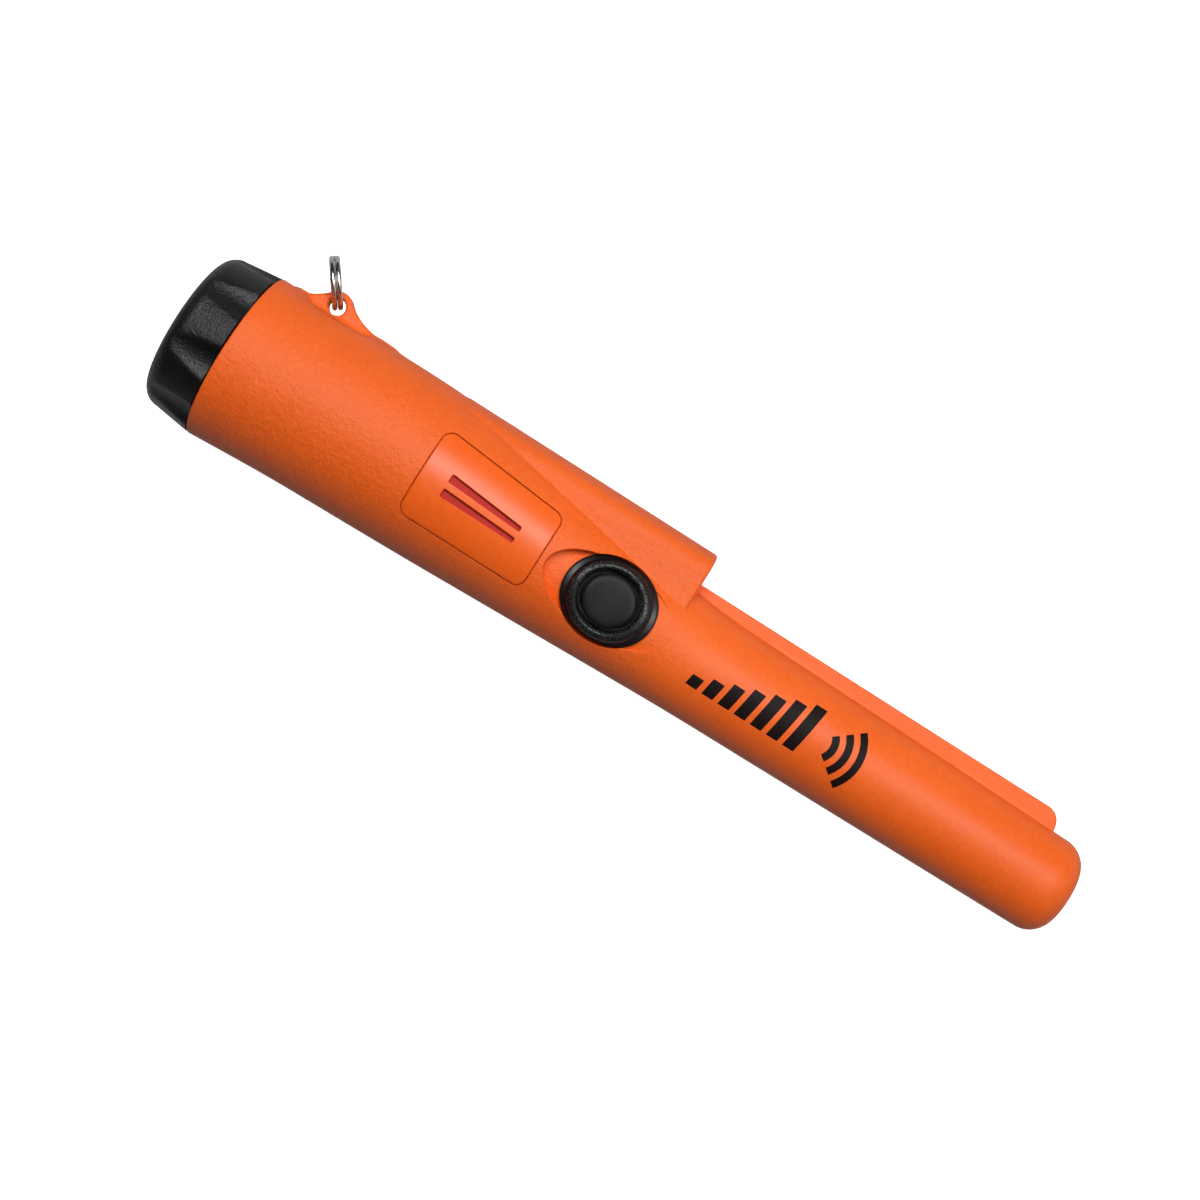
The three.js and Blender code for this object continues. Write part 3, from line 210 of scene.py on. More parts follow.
tip_turn = np.linspace(0, math.pi / 2, 18)
stations = np.concatenate([
    RIM_X + np.array([0.4, 0.8, 1.4, 2.1]), span(RIM_X + 2.9, RIM_X + 30, 0.36), span(RIM_X + 30, -171, 1.2),
    span(-171, -107, 0.8), span(-107, -104.8, 0.3),
    HOOD_FRONT_X - np.array([0.95, 0.8, 0.62, 0.46, 0.32, 0.2, 0.11, 0.05, 0.015, 0.001]),
    HOOD_FRONT_X + np.array([0.001, 0.05, 0.2, 0.5]), span(-103, -96, 0.7), span(-96, -14.2, 0.95),
    span(-14.2, -9.4, 0.22), span(-9.4, -6, 0.55), -6 + 6 * np.sin(tip_turn)])


def section_angles(x):
    """Angles from the blade's direction to the button's and on to the belly, crowded where the form has edges."""
    height, radius = float(shell_height(x)), float(shell_radius(x))
    corner = math.degrees(math.atan2(9.9, 19.546 - height))
    sides = np.linspace(3.7, 22, 400)
    gap = np.hypot(sides - height, 10.7 - 0.0505 * (sides - 3.7)) - radius
    inside = sides[gap < 0]
    foot_y = inside.max() if len(inside) else 3.7
    foot = math.degrees(math.atan2(10.7 - 0.0505 * (foot_y - 3.7), foot_y - height))
    foot = max(foot, corner + 9)
    return np.radians(np.concatenate([
        span(0, 4.2, 0.85), span(4.2, 9.8, 0.45), np.linspace(9.8, corner - 7, 9)[:-1],
        np.linspace(corner - 7, corner + 5, 14)[:-1], np.linspace(corner + 5, foot - 1.2, 8)[:-1],
        np.linspace(foot - 1.2, foot + 1.2, 7)[:-1], np.linspace(foot + 1.2, 100, 24)[:-1],
        np.linspace(100, 180, 28)]))


def traced_rings(field, xs, angles, centre, furthest):
    """Radius at which each ray from the centre line leaves the field, by sampling and halving."""
    xs = np.asarray(xs, float)[:, None] * np.ones_like(angles)
    height = centre(xs)
    unit_y, unit_z = np.cos(angles), np.sin(angles)

    def at(r):
        return field(xs, height + r * unit_y, r * unit_z)

    low, high = np.full(xs.shape, 0.5), np.full(xs.shape, float(furthest))
    found = np.zeros(xs.shape, bool)
    samples = np.linspace(furthest, 1.0, 150)
    for outer, inner in zip(samples, samples[1:]):
        within = (at(np.full(xs.shape, inner)) < 0) & ~found
        low[within], high[within] = inner, outer
        found |= within
        if found.all():
            break
    for _ in range(22):
        middle = (low + high) / 2
        solid = at(middle) < 0
        low, high = np.where(solid, middle, low), np.where(solid, high, middle)
    return np.stack([xs, height + low * unit_y, low * unit_z], -1)


def mesh_object(name, points, faces):
    mesh = bpy.data.meshes.new(name)
    mesh.from_pydata([tuple(p) for p in np.asarray(points, float) * MM], [], faces)
    mesh.validate()
    made = bpy.data.objects.new(name, mesh)
    bpy.context.scene.collection.objects.link(made)
    return made


def lofted(name, rings):
    """A closed solid through rings of equal length, each end closed by a fan."""
    rings = [np.asarray(ring) for ring in rings]
    count = len(rings[0])
    points = list(np.concatenate(rings))
    faces = []
    for i in range(len(rings) - 1):
        for j in range(count):
            k = (j + 1) % count
            faces.append((i * count + j, i * count + k, (i + 1) * count + k, (i + 1) * count + j))
    first, last = len(points), len(points) + 1
    points += [rings[0].mean(0), rings[-1].mean(0)]
    base = (len(rings) - 1) * count
    faces += [(first, (j + 1) % count, j) for j in range(count)]
    faces += [(last, base + j, base + (j + 1) % count) for j in range(count)]
    return outward(mesh_object(name, points, faces))


def outward(piece):
    """Turns a closed mesh's faces to the outside."""
    work = bmesh.new()
    work.from_mesh(piece.data)
    bmesh.ops.recalc_face_normals(work, faces=work.faces)
    if work.calc_volume(signed=True) < 0:
        bmesh.ops.reverse_faces(work, faces=work.faces)
    work.to_mesh(piece.data)
    work.free()
    return piece


angles = np.array([section_angles(float(x)) for x in stations])
half = traced_rings(outside, stations, angles, shell_height, 29)
mirrored = half[:, -2:0:-1] * np.array([1, 1, -1])
skin = np.concatenate([half, mirrored], 1)
skin = skin[:, ::-1]
axis_point = np.stack([skin[0, :, 0] * 0 + RIM_X, skin[0, :, 1], skin[0, :, 2]], -1)
centre_line = np.array([0, GRIP_Y, 0])
rim_ring = centre_line + (axis_point - centre_line) * np.array([1, 1 - 0.4 / 19.735, 1 - 0.4 / 19.735])
rim_ring[:, 0] = RIM_X
bevel_ring = centre_line + (axis_point - centre_line) * np.array([1, 1 - 0.11 / 19.735, 1 - 0.11 / 19.735])
bevel_ring[:, 0] = RIM_X + 0.12
rear_inner = rim_ring * np.array([1, 0.5, 0.5]) + np.array([0, GRIP_Y * 0.5, 0])
nose_rings = [skin[-1] * np.array([1, s, s]) for s in (0.66, 0.33)]
housing = lofted("body_housing_moulding", [rear_inner, rim_ring, bevel_ring, *skin, *nose_rings])


def turned(name, outline, segments=96, height=0.0):
    """A solid of revolution about the probe's axis from (x, radius) points."""
    turn = np.linspace(0, 2 * math.pi, segments, endpoint=False)
    rings = [np.stack([np.full(segments, x), height + r * np.cos(turn), r * np.sin(turn)], 1) for x, r in outline]
    return lofted(name, rings)


def post(name, x, y, z0, z1, radius, segments=64):
    turn = np.linspace(0, 2 * math.pi, segments, endpoint=False)
    ring = np.stack([x + radius * np.cos(turn), y + radius * np.sin(turn), np.zeros(segments)], 1)
    return lofted(name, [ring + (0, 0, z0), ring + (0, 0, z1)])


def combine(piece, tools, operation):
    """Cuts the tools from a piece, or joins them to it, and removes the tools."""
    for tool in tools:
        modifier = piece.modifiers.new(operation, "BOOLEAN")
        modifier.operation = operation
        modifier.solver = "MANIFOLD"
        modifier.object = tool
        result = bpy.data.meshes.new_from_object(piece.evaluated_get(bpy.context.evaluated_depsgraph_get()))
        piece.modifiers.remove(modifier)
        piece.data = result
        piece.data.name = piece.name
        bpy.data.objects.remove(tool)
    return piece


def rounded_outline(corners, radius, per_corner=14, per_side=24):
    """Closed outline in x and y through rounded corners, as an array of points."""
    corners = [np.array(c, float) for c in corners]
    points = []
    for i, corner in enumerate(corners):
        before, after = corners[i - 1], corners[(i + 1) % len(corners)]
        u, v = before - corner, after - corner
        u, v = u / np.linalg.norm(u), v / np.linalg.norm(v)
        opening = math.acos(np.clip(u @ v, -1, 1))
        set_back = radius / math.tan(opening / 2)
        centre = corner + (u + v) / np.linalg.norm(u + v) * radius / math.sin(opening / 2)
        a, b = corner + u * set_back - centre, corner + v * set_back - centre
        start = math.atan2(a[1], a[0])
        turn = (math.atan2(b[1], b[0]) - start + math.pi) % (2 * math.pi) - math.pi
        arc = [centre + radius * np.array([math.cos(start + turn * t), math.sin(start + turn * t)])
               for t in np.linspace(0, 1, per_corner)]
        points += arc
        next_open = corners[(i + 2) % len(corners)]
        w = next_open - after
        w = w / np.linalg.norm(w)
        back = -v
        set_next = radius / math.tan(math.acos(np.clip(back @ w, -1, 1)) / 2)
        end = after + back * set_next
        points += [arc[-1] + (end - arc[-1]) * t for t in np.linspace(0, 1, per_side + 2)[1:-1]]
    return np.array(points)


def grown(outline, amount):
    """The outline moved outwards by an amount, along its own normals."""
    ahead, behind = np.roll(outline, -1, 0), np.roll(outline, 1, 0)
    run = ahead - behind
    run /= np.linalg.norm(run, axis=1)[:, None]
    area = np.sum(outline[:, 0] * ahead[:, 1] - outline[:, 1] * ahead[:, 0])
    normal = np.stack([run[:, 1], -run[:, 0]], 1) * (1 if area > 0 else -1)
    return outline + normal * amount


def shell_top(x, y):
    """Height of the shell's surface on the button's side."""
    return np.sqrt(np.maximum(shell_radius(x) ** 2 - (y - shell_height(x)) ** 2, 0))


def draped(name, outline, levels, under, over, rows=14):
    """A plate or a cutter that follows a curved surface: levels are (growth, height function) down its edge."""
    middle = outline.mean(0)
    rings = []
    top_outline = grown(outline, levels[0][0])
    for s in np.linspace(0.04, 1, rows, endpoint=False):
        flat = middle + (top_outline - middle) * s
        rings.append(np.column_stack([flat, over(flat[:, 0], flat[:, 1])]))
    for growth, surface in levels:
        flat = grown(outline, growth)
        rings.append(np.column_stack([flat, surface(flat[:, 0], flat[:, 1])]))
    low_outline = grown(outline, levels[-1][0])
    for s in np.linspace(1, 0.04, rows + 1)[1:]:
        flat = middle + (low_outline - middle) * s
        rings.append(np.column_stack([flat, under(flat[:, 0], flat[:, 1])]))
    return lofted(name, rings)


def at_depth(depth):
    return lambda x, y: shell_top(x, y) - depth


def on_pad(rise):
    return lambda x, y: np.sqrt(np.maximum((PAD_R + rise) ** 2 - (y - PAD_Y) ** 2, 0))


def cover_corners(inset):
    x0, x1 = COVER_X + inset, COVER_X + COVER_LENGTH - inset
    lift = math.sin(math.radians(34.5))
    return [(x, float(shell_height(x)) + side * (float(shell_radius(x)) * lift - inset))
            for x, side in ((x0, -1), (x1, -1), (x1, 1), (x0, 1))]


cover_recess = rounded_outline(cover_corners(0), 2.5)
recess_cut = draped("cover_recess", cover_recess, [(0.16, at_depth(-1.5)), (0.16, at_depth(-0.05)),
                                                   (0.04, at_depth(0.08)), (0, at_depth(0.2)), (0, at_depth(1.1))],
                    at_depth(1.1), at_depth(-1.5))
strip_corners = [(x, float(shell_height(x)) + side * 4.2) for x, side in
                 ((-162.7, -1), (-141.1, -1), (-141.1, 1), (-162.7, 1))]
strip_cut = draped("membrane_recess", rounded_outline(strip_corners, 1), [(0, at_depth(0.6)), (0, at_depth(1.55))],
                   at_depth(1.55), at_depth(0.6))
turn = np.linspace(0, 2 * math.pi, 144, endpoint=False)
oval = np.stack([PAD_X + 15.55 * np.cos(turn), PAD_Y + 8.2 * np.sin(turn)], 1)


def pad_wall(depth):
    """Down the pad's wall, but never under its floor."""
    return lambda x, y: np.maximum(shell_top(x, y) - depth, on_pad(0)(x, y) + 0.002)


pad_cut = draped("pad_recess", oval, [(0.45, at_depth(-2)), (0.45, at_depth(-0.15)), (0.14, pad_wall(0.1)),
                                      (0, pad_wall(0.36)), (0, on_pad(0))], on_pad(0), at_depth(-2))
seat = np.stack([BUTTON_X + 11.25 * np.cos(turn), PAD_Y + 9.68 * np.sin(turn)], 1)
seat_cut = draped("boot_seat", seat, [(0, lambda x, y: x * 0 + 22), (0, on_pad(0))], on_pad(0),
                  lambda x, y: x * 0 + 22)
bay = turned("bay", [(RIM_X - 1, 16.985), (RIM_X + 2.7, 16.985), (RIM_X + 2.9, 16.785), (RIM_X + 10.8, 16.785),
                     (RIM_X + 12.3, 15.385), (-151.8, 15.385)], 128, GRIP_Y)
core_line = [(-152.3, 14.47), (-138.8, 11.1), (-96.4, 10.56), (-7.5, 9.08), (-4.4, 7.58), (-3, 4.58)]
core = turned("core", [(x, r) for x, r in core_line], 96)
for vertex in core.data.vertices:
    vertex.co.y += min(GRIP_Y, float(np.interp(vertex.co.x / MM, [-164, -96.4], [3.7, 0]))) * MM


def box_solid(name, low, high):
    (x0, y0, z0), (x1, y1, z1) = low, high
    ring = np.array([(x0, y0, z0), (x0, y1, z0), (x0, y1, z1), (x0, y0, z1)], float)
    return lofted(name, [ring, ring + (x1 - x0, 0, 0)])


lamp_core = box_solid("lamp_core", (-152.3, PAD_Y, -7.5), (-106.5, TOP_Y - 6.4, 7.5))
lamp_bore = turned("lamp_bore", [(-118.1, 3.1), (HOOD_FRONT_X - 0.35, 3.1), (HOOD_FRONT_X + 1, 3.9)], 64, LAMP_Y)
speaker_bore = post("speaker_bore", -143.5, 2.578, 10.7, 17.4, 6.6)
button_hole = post("button_hole", BUTTON_X, PAD_Y, 5, 16, 7.1)
eye = post("eye", EYE_X, EYE_Y, -4, 4, 1.95, 48)
eye_flare = [lofted("eye_flare", [np.stack([EYE_X + r * np.cos(turn), EYE_Y + r * np.sin(turn), turn * 0 + z], 1)
                                  for r, z in ((1.95, side * 1.7), (2.15, side * 2.0), (2.6, side * 2.3))])
             for side in (-1, 1)]


def thread_ridge(name, base, crest, start, height):
    """A trapezoid ridge of two and a quarter turns with tapered ends."""
    total = 2.25 * 2 * math.pi
    sweep = np.linspace(0, total, 2 * 72 + 18 + 1)
    sink = math.copysign(0.3, base - crest)
    foot = base + sink
    rings = []
    for a in sweep:
        rise = min(1, 0.15 + min(a, total - a) / (math.pi / 6))
        top_r = foot + (crest - foot) * rise
        x = start + 2 * a / (2 * math.pi)
        rings.append([(x + dx, height + r * math.cos(a), r * math.sin(a))
                      for dx, r in ((-0.73, foot), (0.73, foot), (0.25, top_r), (-0.25, top_r))])
    return lofted(name, rings)


combine(housing, [bay, core, lamp_core, lamp_bore, recess_cut, strip_cut, pad_cut, seat_cut, speaker_bore,
                  button_hole, eye, *eye_flare], "DIFFERENCE")
combine(housing, [thread_ridge("nut_thread", 16.785, 15.985, RIM_X + 4.9, GRIP_Y)], "UNION")


def smooth_by_angle(piece, degrees):
    """Smooth shading, with the edges sharper than the angle kept crisp."""
    mesh = piece.data
    mesh.polygons.foreach_set("use_smooth", np.ones(len(mesh.polygons), bool))
    mesh.set_sharp_from_angle(angle=math.radians(degrees))
    mesh.update()


smooth_by_angle(housing, 28)


def new_group(name, inputs, outputs):
    """An empty shader group with float inputs and the outputs named, and its own input and output nodes."""
    tree = bpy.data.node_groups.new(name, "ShaderNodeTree")
    for label, value in inputs.items():
        socket = tree.interface.new_socket(label, in_out="INPUT", socket_type="NodeSocketFloat")
        socket.default_value = value
    for label, kind in outputs.items():
        tree.interface.new_socket(label, in_out="OUTPUT", socket_type=kind)
    return tree, tree.nodes.new("NodeGroupInput"), tree.nodes.new("NodeGroupOutput")


def math_node(tree, operation, a, b=None, clamp=False):
    node = tree.nodes.new("ShaderNodeMath")
    node.operation, node.use_clamp = operation, clamp
    for slot, value in zip(node.inputs, (a, b)):
        if value is None:
            continue
        if isinstance(value, (int, float)):
            slot.default_value = value
        else:
            tree.links.new(value, slot)
    return node.outputs[0]


# Fine moulded grain: two sizes of rounded bead, as height, and a slight change of shade.
grain, grain_in, grain_out = new_group(
    "moulded_grain", {"Beads per metre": 2600, "Coarse share": 0.5},
    {"Height": "NodeSocketFloat", "Shade": "NodeSocketFloat", "Roughness": "NodeSocketFloat"})
where = grain.nodes.new("ShaderNodeTexCoord").outputs["Object"]
fine = grain.nodes.new("ShaderNodeTexNoise")
coarse = grain.nodes.new("ShaderNodeTexNoise")
patch = grain.nodes.new("ShaderNodeTexNoise")
for texture, detail, rough in ((fine, 3, 0.6), (coarse, 2, 0.5), (patch, 3, 0.55)):
    texture.inputs["Detail"].default_value = detail
    texture.inputs["Roughness"].default_value = rough
    grain.links.new(where, texture.inputs["Vector"])
grain.links.new(grain_in.outputs["Beads per metre"], fine.inputs["Scale"])
grain.links.new(math_node(grain, "MULTIPLY", grain_in.outputs["Beads per metre"], 0.42), coarse.inputs["Scale"])
patch.inputs["Scale"].default_value = 26
mixed = grain.nodes.new("ShaderNodeMix")
grain.links.new(grain_in.outputs["Coarse share"], mixed.inputs["Factor"])
grain.links.new(fine.outputs["Fac"], mixed.inputs["A"])
grain.links.new(coarse.outputs["Fac"], mixed.inputs["B"])
grain.links.new(mixed.outputs[0], grain_out.inputs["Height"])
shade = math_node(grain, "ADD", math_node(grain, "MULTIPLY", mixed.outputs[0], 0.6),
                  math_node(grain, "MULTIPLY", patch.outputs["Fac"], 0.4))
grain.links.new(shade, grain_out.inputs["Shade"])
grain.links.new(math_node(grain, "ADD", 0.5, math_node(grain, "MULTIPLY", math_node(
    grain, "SUBTRACT", shade, 0.5), 0.5)), grain_out.inputs["Roughness"])


def moulded(name, dark, light, rough, beads, coarse_share, bump, sheen=0.0, specular=0.5, coat=0.0, fade=None):
    """A moulded plastic or rubber: colour between two shades, roughness and relief, all from the grain group."""
    paint = bpy.data.materials.new(name)
    paint.use_nodes = True
    tree = paint.node_tree
    shader = tree.nodes["Principled BSDF"]
    texture = tree.nodes.new("ShaderNodeGroup")
    texture.node_tree = grain
    texture.inputs["Beads per metre"].default_value = beads
    texture.inputs["Coarse share"].default_value = coarse_share
    ramp = tree.nodes.new("ShaderNodeValToRGB")
    ramp.color_ramp.elements[0].position, ramp.color_ramp.elements[1].position = 0.36, 0.64
    ramp.color_ramp.elements[0].color = (*dark, 1)
    ramp.color_ramp.elements[1].color = (*light, 1)
    tree.links.new(texture.outputs["Shade"], ramp.inputs["Fac"])
    tree.links.new(ramp.outputs["Color"], shader.inputs["Base Color"])
    low, high = rough
    spread = tree.nodes.new("ShaderNodeMapRange")
    spread.inputs["From Min"].default_value, spread.inputs["From Max"].default_value = 0.42, 0.58
    spread.inputs["To Min"].default_value, spread.inputs["To Max"].default_value = low, high
    tree.links.new(texture.outputs["Roughness"], spread.inputs["Value"])
    tree.links.new(spread.outputs["Result"], shader.inputs["Roughness"])
    relief = tree.nodes.new("ShaderNodeBump")
    relief.inputs["Distance"].default_value = bump * MM
    relief.inputs["Strength"].default_value = 1.0
    height = texture.outputs["Height"]
    if fade:
        along = tree.nodes.new("ShaderNodeSeparateXYZ")
        tree.links.new(tree.nodes.new("ShaderNodeTexCoord").outputs["Object"], along.inputs[0])
        smoother = tree.nodes.new("ShaderNodeMapRange")
        smoother.inputs["From Min"].default_value, smoother.inputs["From Max"].default_value = fade[0], fade[1]
        smoother.inputs["To Min"].default_value, smoother.inputs["To Max"].default_value = 1.0, fade[2]
        tree.links.new(along.outputs["X"], smoother.inputs["Value"])
        height = math_node(tree, "MULTIPLY", height, smoother.outputs["Result"])
    tree.links.new(height, relief.inputs["Height"])
    tree.links.new(relief.outputs["Normal"], shader.inputs["Normal"])
    shader.inputs["Specular IOR Level"].default_value = specular
    shader.inputs["Sheen Weight"].default_value = sheen
    shader.inputs["Coat Weight"].default_value = coat
    return paint


housing_plastic = moulded("housing_plastic", (0.76, 0.105, 0.010), (0.86, 0.135, 0.016), (0.40, 0.54),
                          1700, 0.45, 0.36, specular=0.28, fade=(-0.106, -0.094, 0.3))
housing.data.materials.clear()
housing.data.materials.append(housing_plastic)
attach(housing, "housing")
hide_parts("body_housing")

# ---- Speaker cover ----
# A flush curved plate in the same orange, smoother than the grip, snapped into its recess over the speaker.
# Two sound slots taper towards the tip.
cover = draped("speaker_cover_plate", rounded_outline(cover_corners(0.2), 2.3),
               [(-0.16, at_depth(0.0)), (-0.08, at_depth(0.02)), (-0.02, at_depth(0.07)), (0, at_depth(0.16)),
                (0, at_depth(0.9))], at_depth(0.9), at_depth(0.0), 22)


def slot_corners(side):
    x0, x1 = COVER_X + 6.3, COVER_X + 24.5
    rows = [(x0, 0.825), (x1, 0.825), (x1, 1.925), (x0, 2.725)]
    return [(x, float(shell_height(x)) + side * rise) for x, rise in rows][::side]


combine(cover, [draped("slot", rounded_outline(slot_corners(side), 0.3, 8, 20),
                       [(0.14, at_depth(-1)), (0.14, at_depth(0)), (0, at_depth(0.16)), (0, at_depth(1.6))],
                       at_depth(1.6), at_depth(-1)) for side in (-1, 1)], "DIFFERENCE")
smooth_by_angle(cover, 28)
cover_plastic = moulded("cover_plastic", (0.80, 0.105, 0.009), (0.86, 0.125, 0.013), (0.30, 0.38), 1500, 0.7, 0.03,
                        specular=0.36)
cover.data.materials.clear()
cover.data.materials.append(cover_plastic)
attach(cover, "housing")
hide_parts("speaker_cover")

# ---- Sound membrane ----
# A strip of speaker cloth, woven fine and bonded under the slots to keep water out of the speaker; its dark red is
# painted shade, the orange seen in shadow through the slots.
weave, weave_in, weave_out = new_group(
    "woven_threads", {"Threads per metre": 2400}, {"Height": "NodeSocketFloat", "Shade": "NodeSocketFloat"})
weave_at = weave.nodes.new("ShaderNodeTexCoord").outputs["Object"]
split = weave.nodes.new("ShaderNodeSeparateXYZ")
weave.links.new(weave_at, split.inputs[0])
ripples = []
for axis in (0, 1):
    phase = math_node(weave, "MULTIPLY", split.outputs[axis], math_node(
        weave, "MULTIPLY", weave_in.outputs["Threads per metre"], 2 * math.pi))
    ripples.append(math_node(weave, "ABSOLUTE", math_node(weave, "SINE", phase)))
threads = math_node(weave, "MAXIMUM", ripples[0], ripples[1])
weave.links.new(threads, weave_out.inputs["Height"])
weave.links.new(threads, weave_out.inputs["Shade"])
cloth = bpy.data.materials.new("speaker_cloth_painted_shade")
cloth.use_nodes = True
cloth_shader = cloth.node_tree.nodes["Principled BSDF"]
threads_node = cloth.node_tree.nodes.new("ShaderNodeGroup")
threads_node.node_tree = weave
# Painted shade: the cloth's dark red stands for the orange seen in shadow through the slots, darker and redder than
# the plastic.
cloth_painted_shade_ramp = cloth.node_tree.nodes.new("ShaderNodeValToRGB")
cloth_painted_shade_ramp.color_ramp.elements[0].color = (0.26, 0.008, 0.008, 1)
cloth_painted_shade_ramp.color_ramp.elements[1].color = (0.50, 0.022, 0.016, 1)
cloth.node_tree.links.new(threads_node.outputs["Shade"], cloth_painted_shade_ramp.inputs["Fac"])
cloth.node_tree.links.new(cloth_painted_shade_ramp.outputs["Color"], cloth_shader.inputs["Base Color"])
cloth_relief = cloth.node_tree.nodes.new("ShaderNodeBump")
cloth_relief.inputs["Distance"].default_value = 0.05 * MM
cloth.node_tree.links.new(threads_node.outputs["Height"], cloth_relief.inputs["Height"])
cloth.node_tree.links.new(cloth_relief.outputs["Normal"], cloth_shader.inputs["Normal"])
cloth_shader.inputs["Roughness"].default_value = 0.8
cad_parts["speaker_membrane"].data.materials.clear()
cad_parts["speaker_membrane"].data.materials.append(cloth)

# ---- Button boot ----
# Black rubber flange with a raised ring of coarse grain round the button, bonded to the pad's curved floor.
boot_line = [(0.2, 7.0), (0.2, 10.75), (0.3, 10.9), (0.5, 10.95), (0.72, 10.86), (0.86, 10.64), (0.92, 10.35),
             (0.95, 9.9), (1.02, 9.55)]
for t in np.linspace(0.1, 1, 8):
    boot_line.append((1.02 * (1 - t) ** 2 + 2 * 2.05 * t * (1 - t) + 2.1 * t * t,
                      9.55 * (1 - t) ** 2 + 2 * 9.0 * t * (1 - t) + 8.1 * t * t))
for t in np.linspace(0.12, 1, 8):
    boot_line.append((2.1 * (1 - t) ** 2 + 2 * 2.12 * t * (1 - t) + 1.2 * t * t,
                      8.1 * (1 - t) ** 2 + 2 * 7.05 * t * (1 - t) + 7.0 * t * t))


def on_button(points):
    """Bends points made flat, with their height in z, round the pad's cylinder."""
    points = np.asarray(points, float)
    angle, radius = points[:, 1] / PAD_R, PAD_R + points[:, 2]
    return np.stack([points[:, 0] + BUTTON_X, PAD_Y + radius * np.sin(angle), radius * np.cos(angle)], 1)


def hoop(name, loops):
    """A closed ring of equal loops, joined end to end."""
    count = len(loops[0])
    faces = []
    for i in range(len(loops)):
        for j in range(count):
            k, n = (j + 1) % count, (i + 1) % len(loops)
            faces.append((i * count + j, i * count + k, n * count + k, n * count + j))
    return outward(mesh_object(name, np.concatenate(loops), faces))


BOOT_OVAL = 0.9  # width across the tube over length along it
boot = hoop("button_boot_ring", [on_button([(r * math.cos(a), BOOT_OVAL * r * math.sin(a), h) for h, r in boot_line])
                                 for a in np.linspace(0, 2 * math.pi, 144, endpoint=False)])
smooth_by_angle(boot, 40)


def node_tree(name, inputs):
    """An empty Geometry Nodes tree with named float inputs."""
    tree = bpy.data.node_groups.new(name, "GeometryNodeTree")
    tree.interface.new_socket("Geometry", in_out="INPUT", socket_type="NodeSocketGeometry")
    keys = {}
    for label, (kind, value) in inputs.items():
        socket = tree.interface.new_socket(label, in_out="INPUT", socket_type=kind)
        if value is not None:
            socket.default_value = value
        keys[label] = socket.identifier
    tree.interface.new_socket("Geometry", in_out="OUTPUT", socket_type="NodeSocketGeometry")
    return tree, tree.nodes.new("NodeGroupInput"), tree.nodes.new("NodeGroupOutput"), keys


def finish_tree(tree, geometry, output, material_socket):
    """Ends a tree in Realize Instances and Set Material."""
    realize = tree.nodes.new("GeometryNodeRealizeInstances")
    paint = tree.nodes.new("GeometryNodeSetMaterial")
    tree.links.new(geometry, realize.inputs[0])
    tree.links.new(realize.outputs[0], paint.inputs["Geometry"])
    tree.links.new(material_socket, paint.inputs["Material"])
    tree.links.new(paint.outputs[0], output.inputs[0])


def grown_from(piece, tree, keys, values):
    """Runs the tree on the piece and keeps the result as its plain mesh."""
    modifier = piece.modifiers.new(tree.name, "NODES")
    modifier.node_group = tree
    for label, value in values.items():
        modifier[keys[label]] = value
    result = bpy.data.meshes.new_from_object(piece.evaluated_get(bpy.context.evaluated_depsgraph_get()))
    piece.modifiers.remove(modifier)
    piece.data = result
    piece.data.name = piece.name
    return piece


rubber = moulded("button_rubber", (0.0025, 0.002, 0.0022), (0.005, 0.0042, 0.0045), (0.34, 0.50), 3000, 0.4, 0.03,
                 specular=0.5)
grains, grains_in, grains_out, grain_keys = node_tree("ring_grains", {
    "Inner radius": ("NodeSocketFloat", 0.0072), "Outer radius": ("NodeSocketFloat", 0.0093),
    "Grain radius": ("NodeSocketFloat", 0.00017), "Spacing": ("NodeSocketFloat", 0.0003),
    "Lowest": ("NodeSocketFloat", 0.001), "Centre": ("NodeSocketVector", (0, 0, 0)),
    "Material": ("NodeSocketMaterial", None)})
scatter = grains.nodes.new("GeometryNodeDistributePointsOnFaces")
scatter.distribute_method = "POISSON"
scatter.inputs["Density Max"].default_value = 9e6
scatter.inputs["Seed"].default_value = 7
grains.links.new(grains_in.outputs["Geometry"], scatter.inputs["Mesh"])
grains.links.new(grains_in.outputs["Spacing"], scatter.inputs["Distance Min"])
spot = grains.nodes.new("GeometryNodeInputPosition").outputs[0]
reach = grains.nodes.new("ShaderNodeVectorMath")
reach.operation = "SUBTRACT"
grains.links.new(spot, reach.inputs[0])
grains.links.new(grains_in.outputs["Centre"], reach.inputs[1])
apart = grains.nodes.new("ShaderNodeSeparateXYZ")
grains.links.new(reach.outputs[0], apart.inputs[0])
level = math_node(grains, "SQRT", math_node(grains, "ADD", math_node(
    grains, "MULTIPLY", apart.outputs[0], apart.outputs[0]), math_node(
    grains, "MULTIPLY", math_node(grains, "MULTIPLY", apart.outputs[1], 1 / BOOT_OVAL), math_node(
        grains, "MULTIPLY", apart.outputs[1], 1 / BOOT_OVAL))))


def compare(tree, operation, a, b):
    node = tree.nodes.new("FunctionNodeCompare")
    node.data_type, node.operation = "FLOAT", operation
    for slot, value in zip((node.inputs[0], node.inputs[1]), (a, b)):
        tree.links.new(value, slot)
    return node.outputs[0]


def both(tree, a, b):
    node = tree.nodes.new("FunctionNodeBooleanMath")
    node.operation = "AND"
    tree.links.new(a, node.inputs[0])
    tree.links.new(b, node.inputs[1])
    return node.outputs[0]


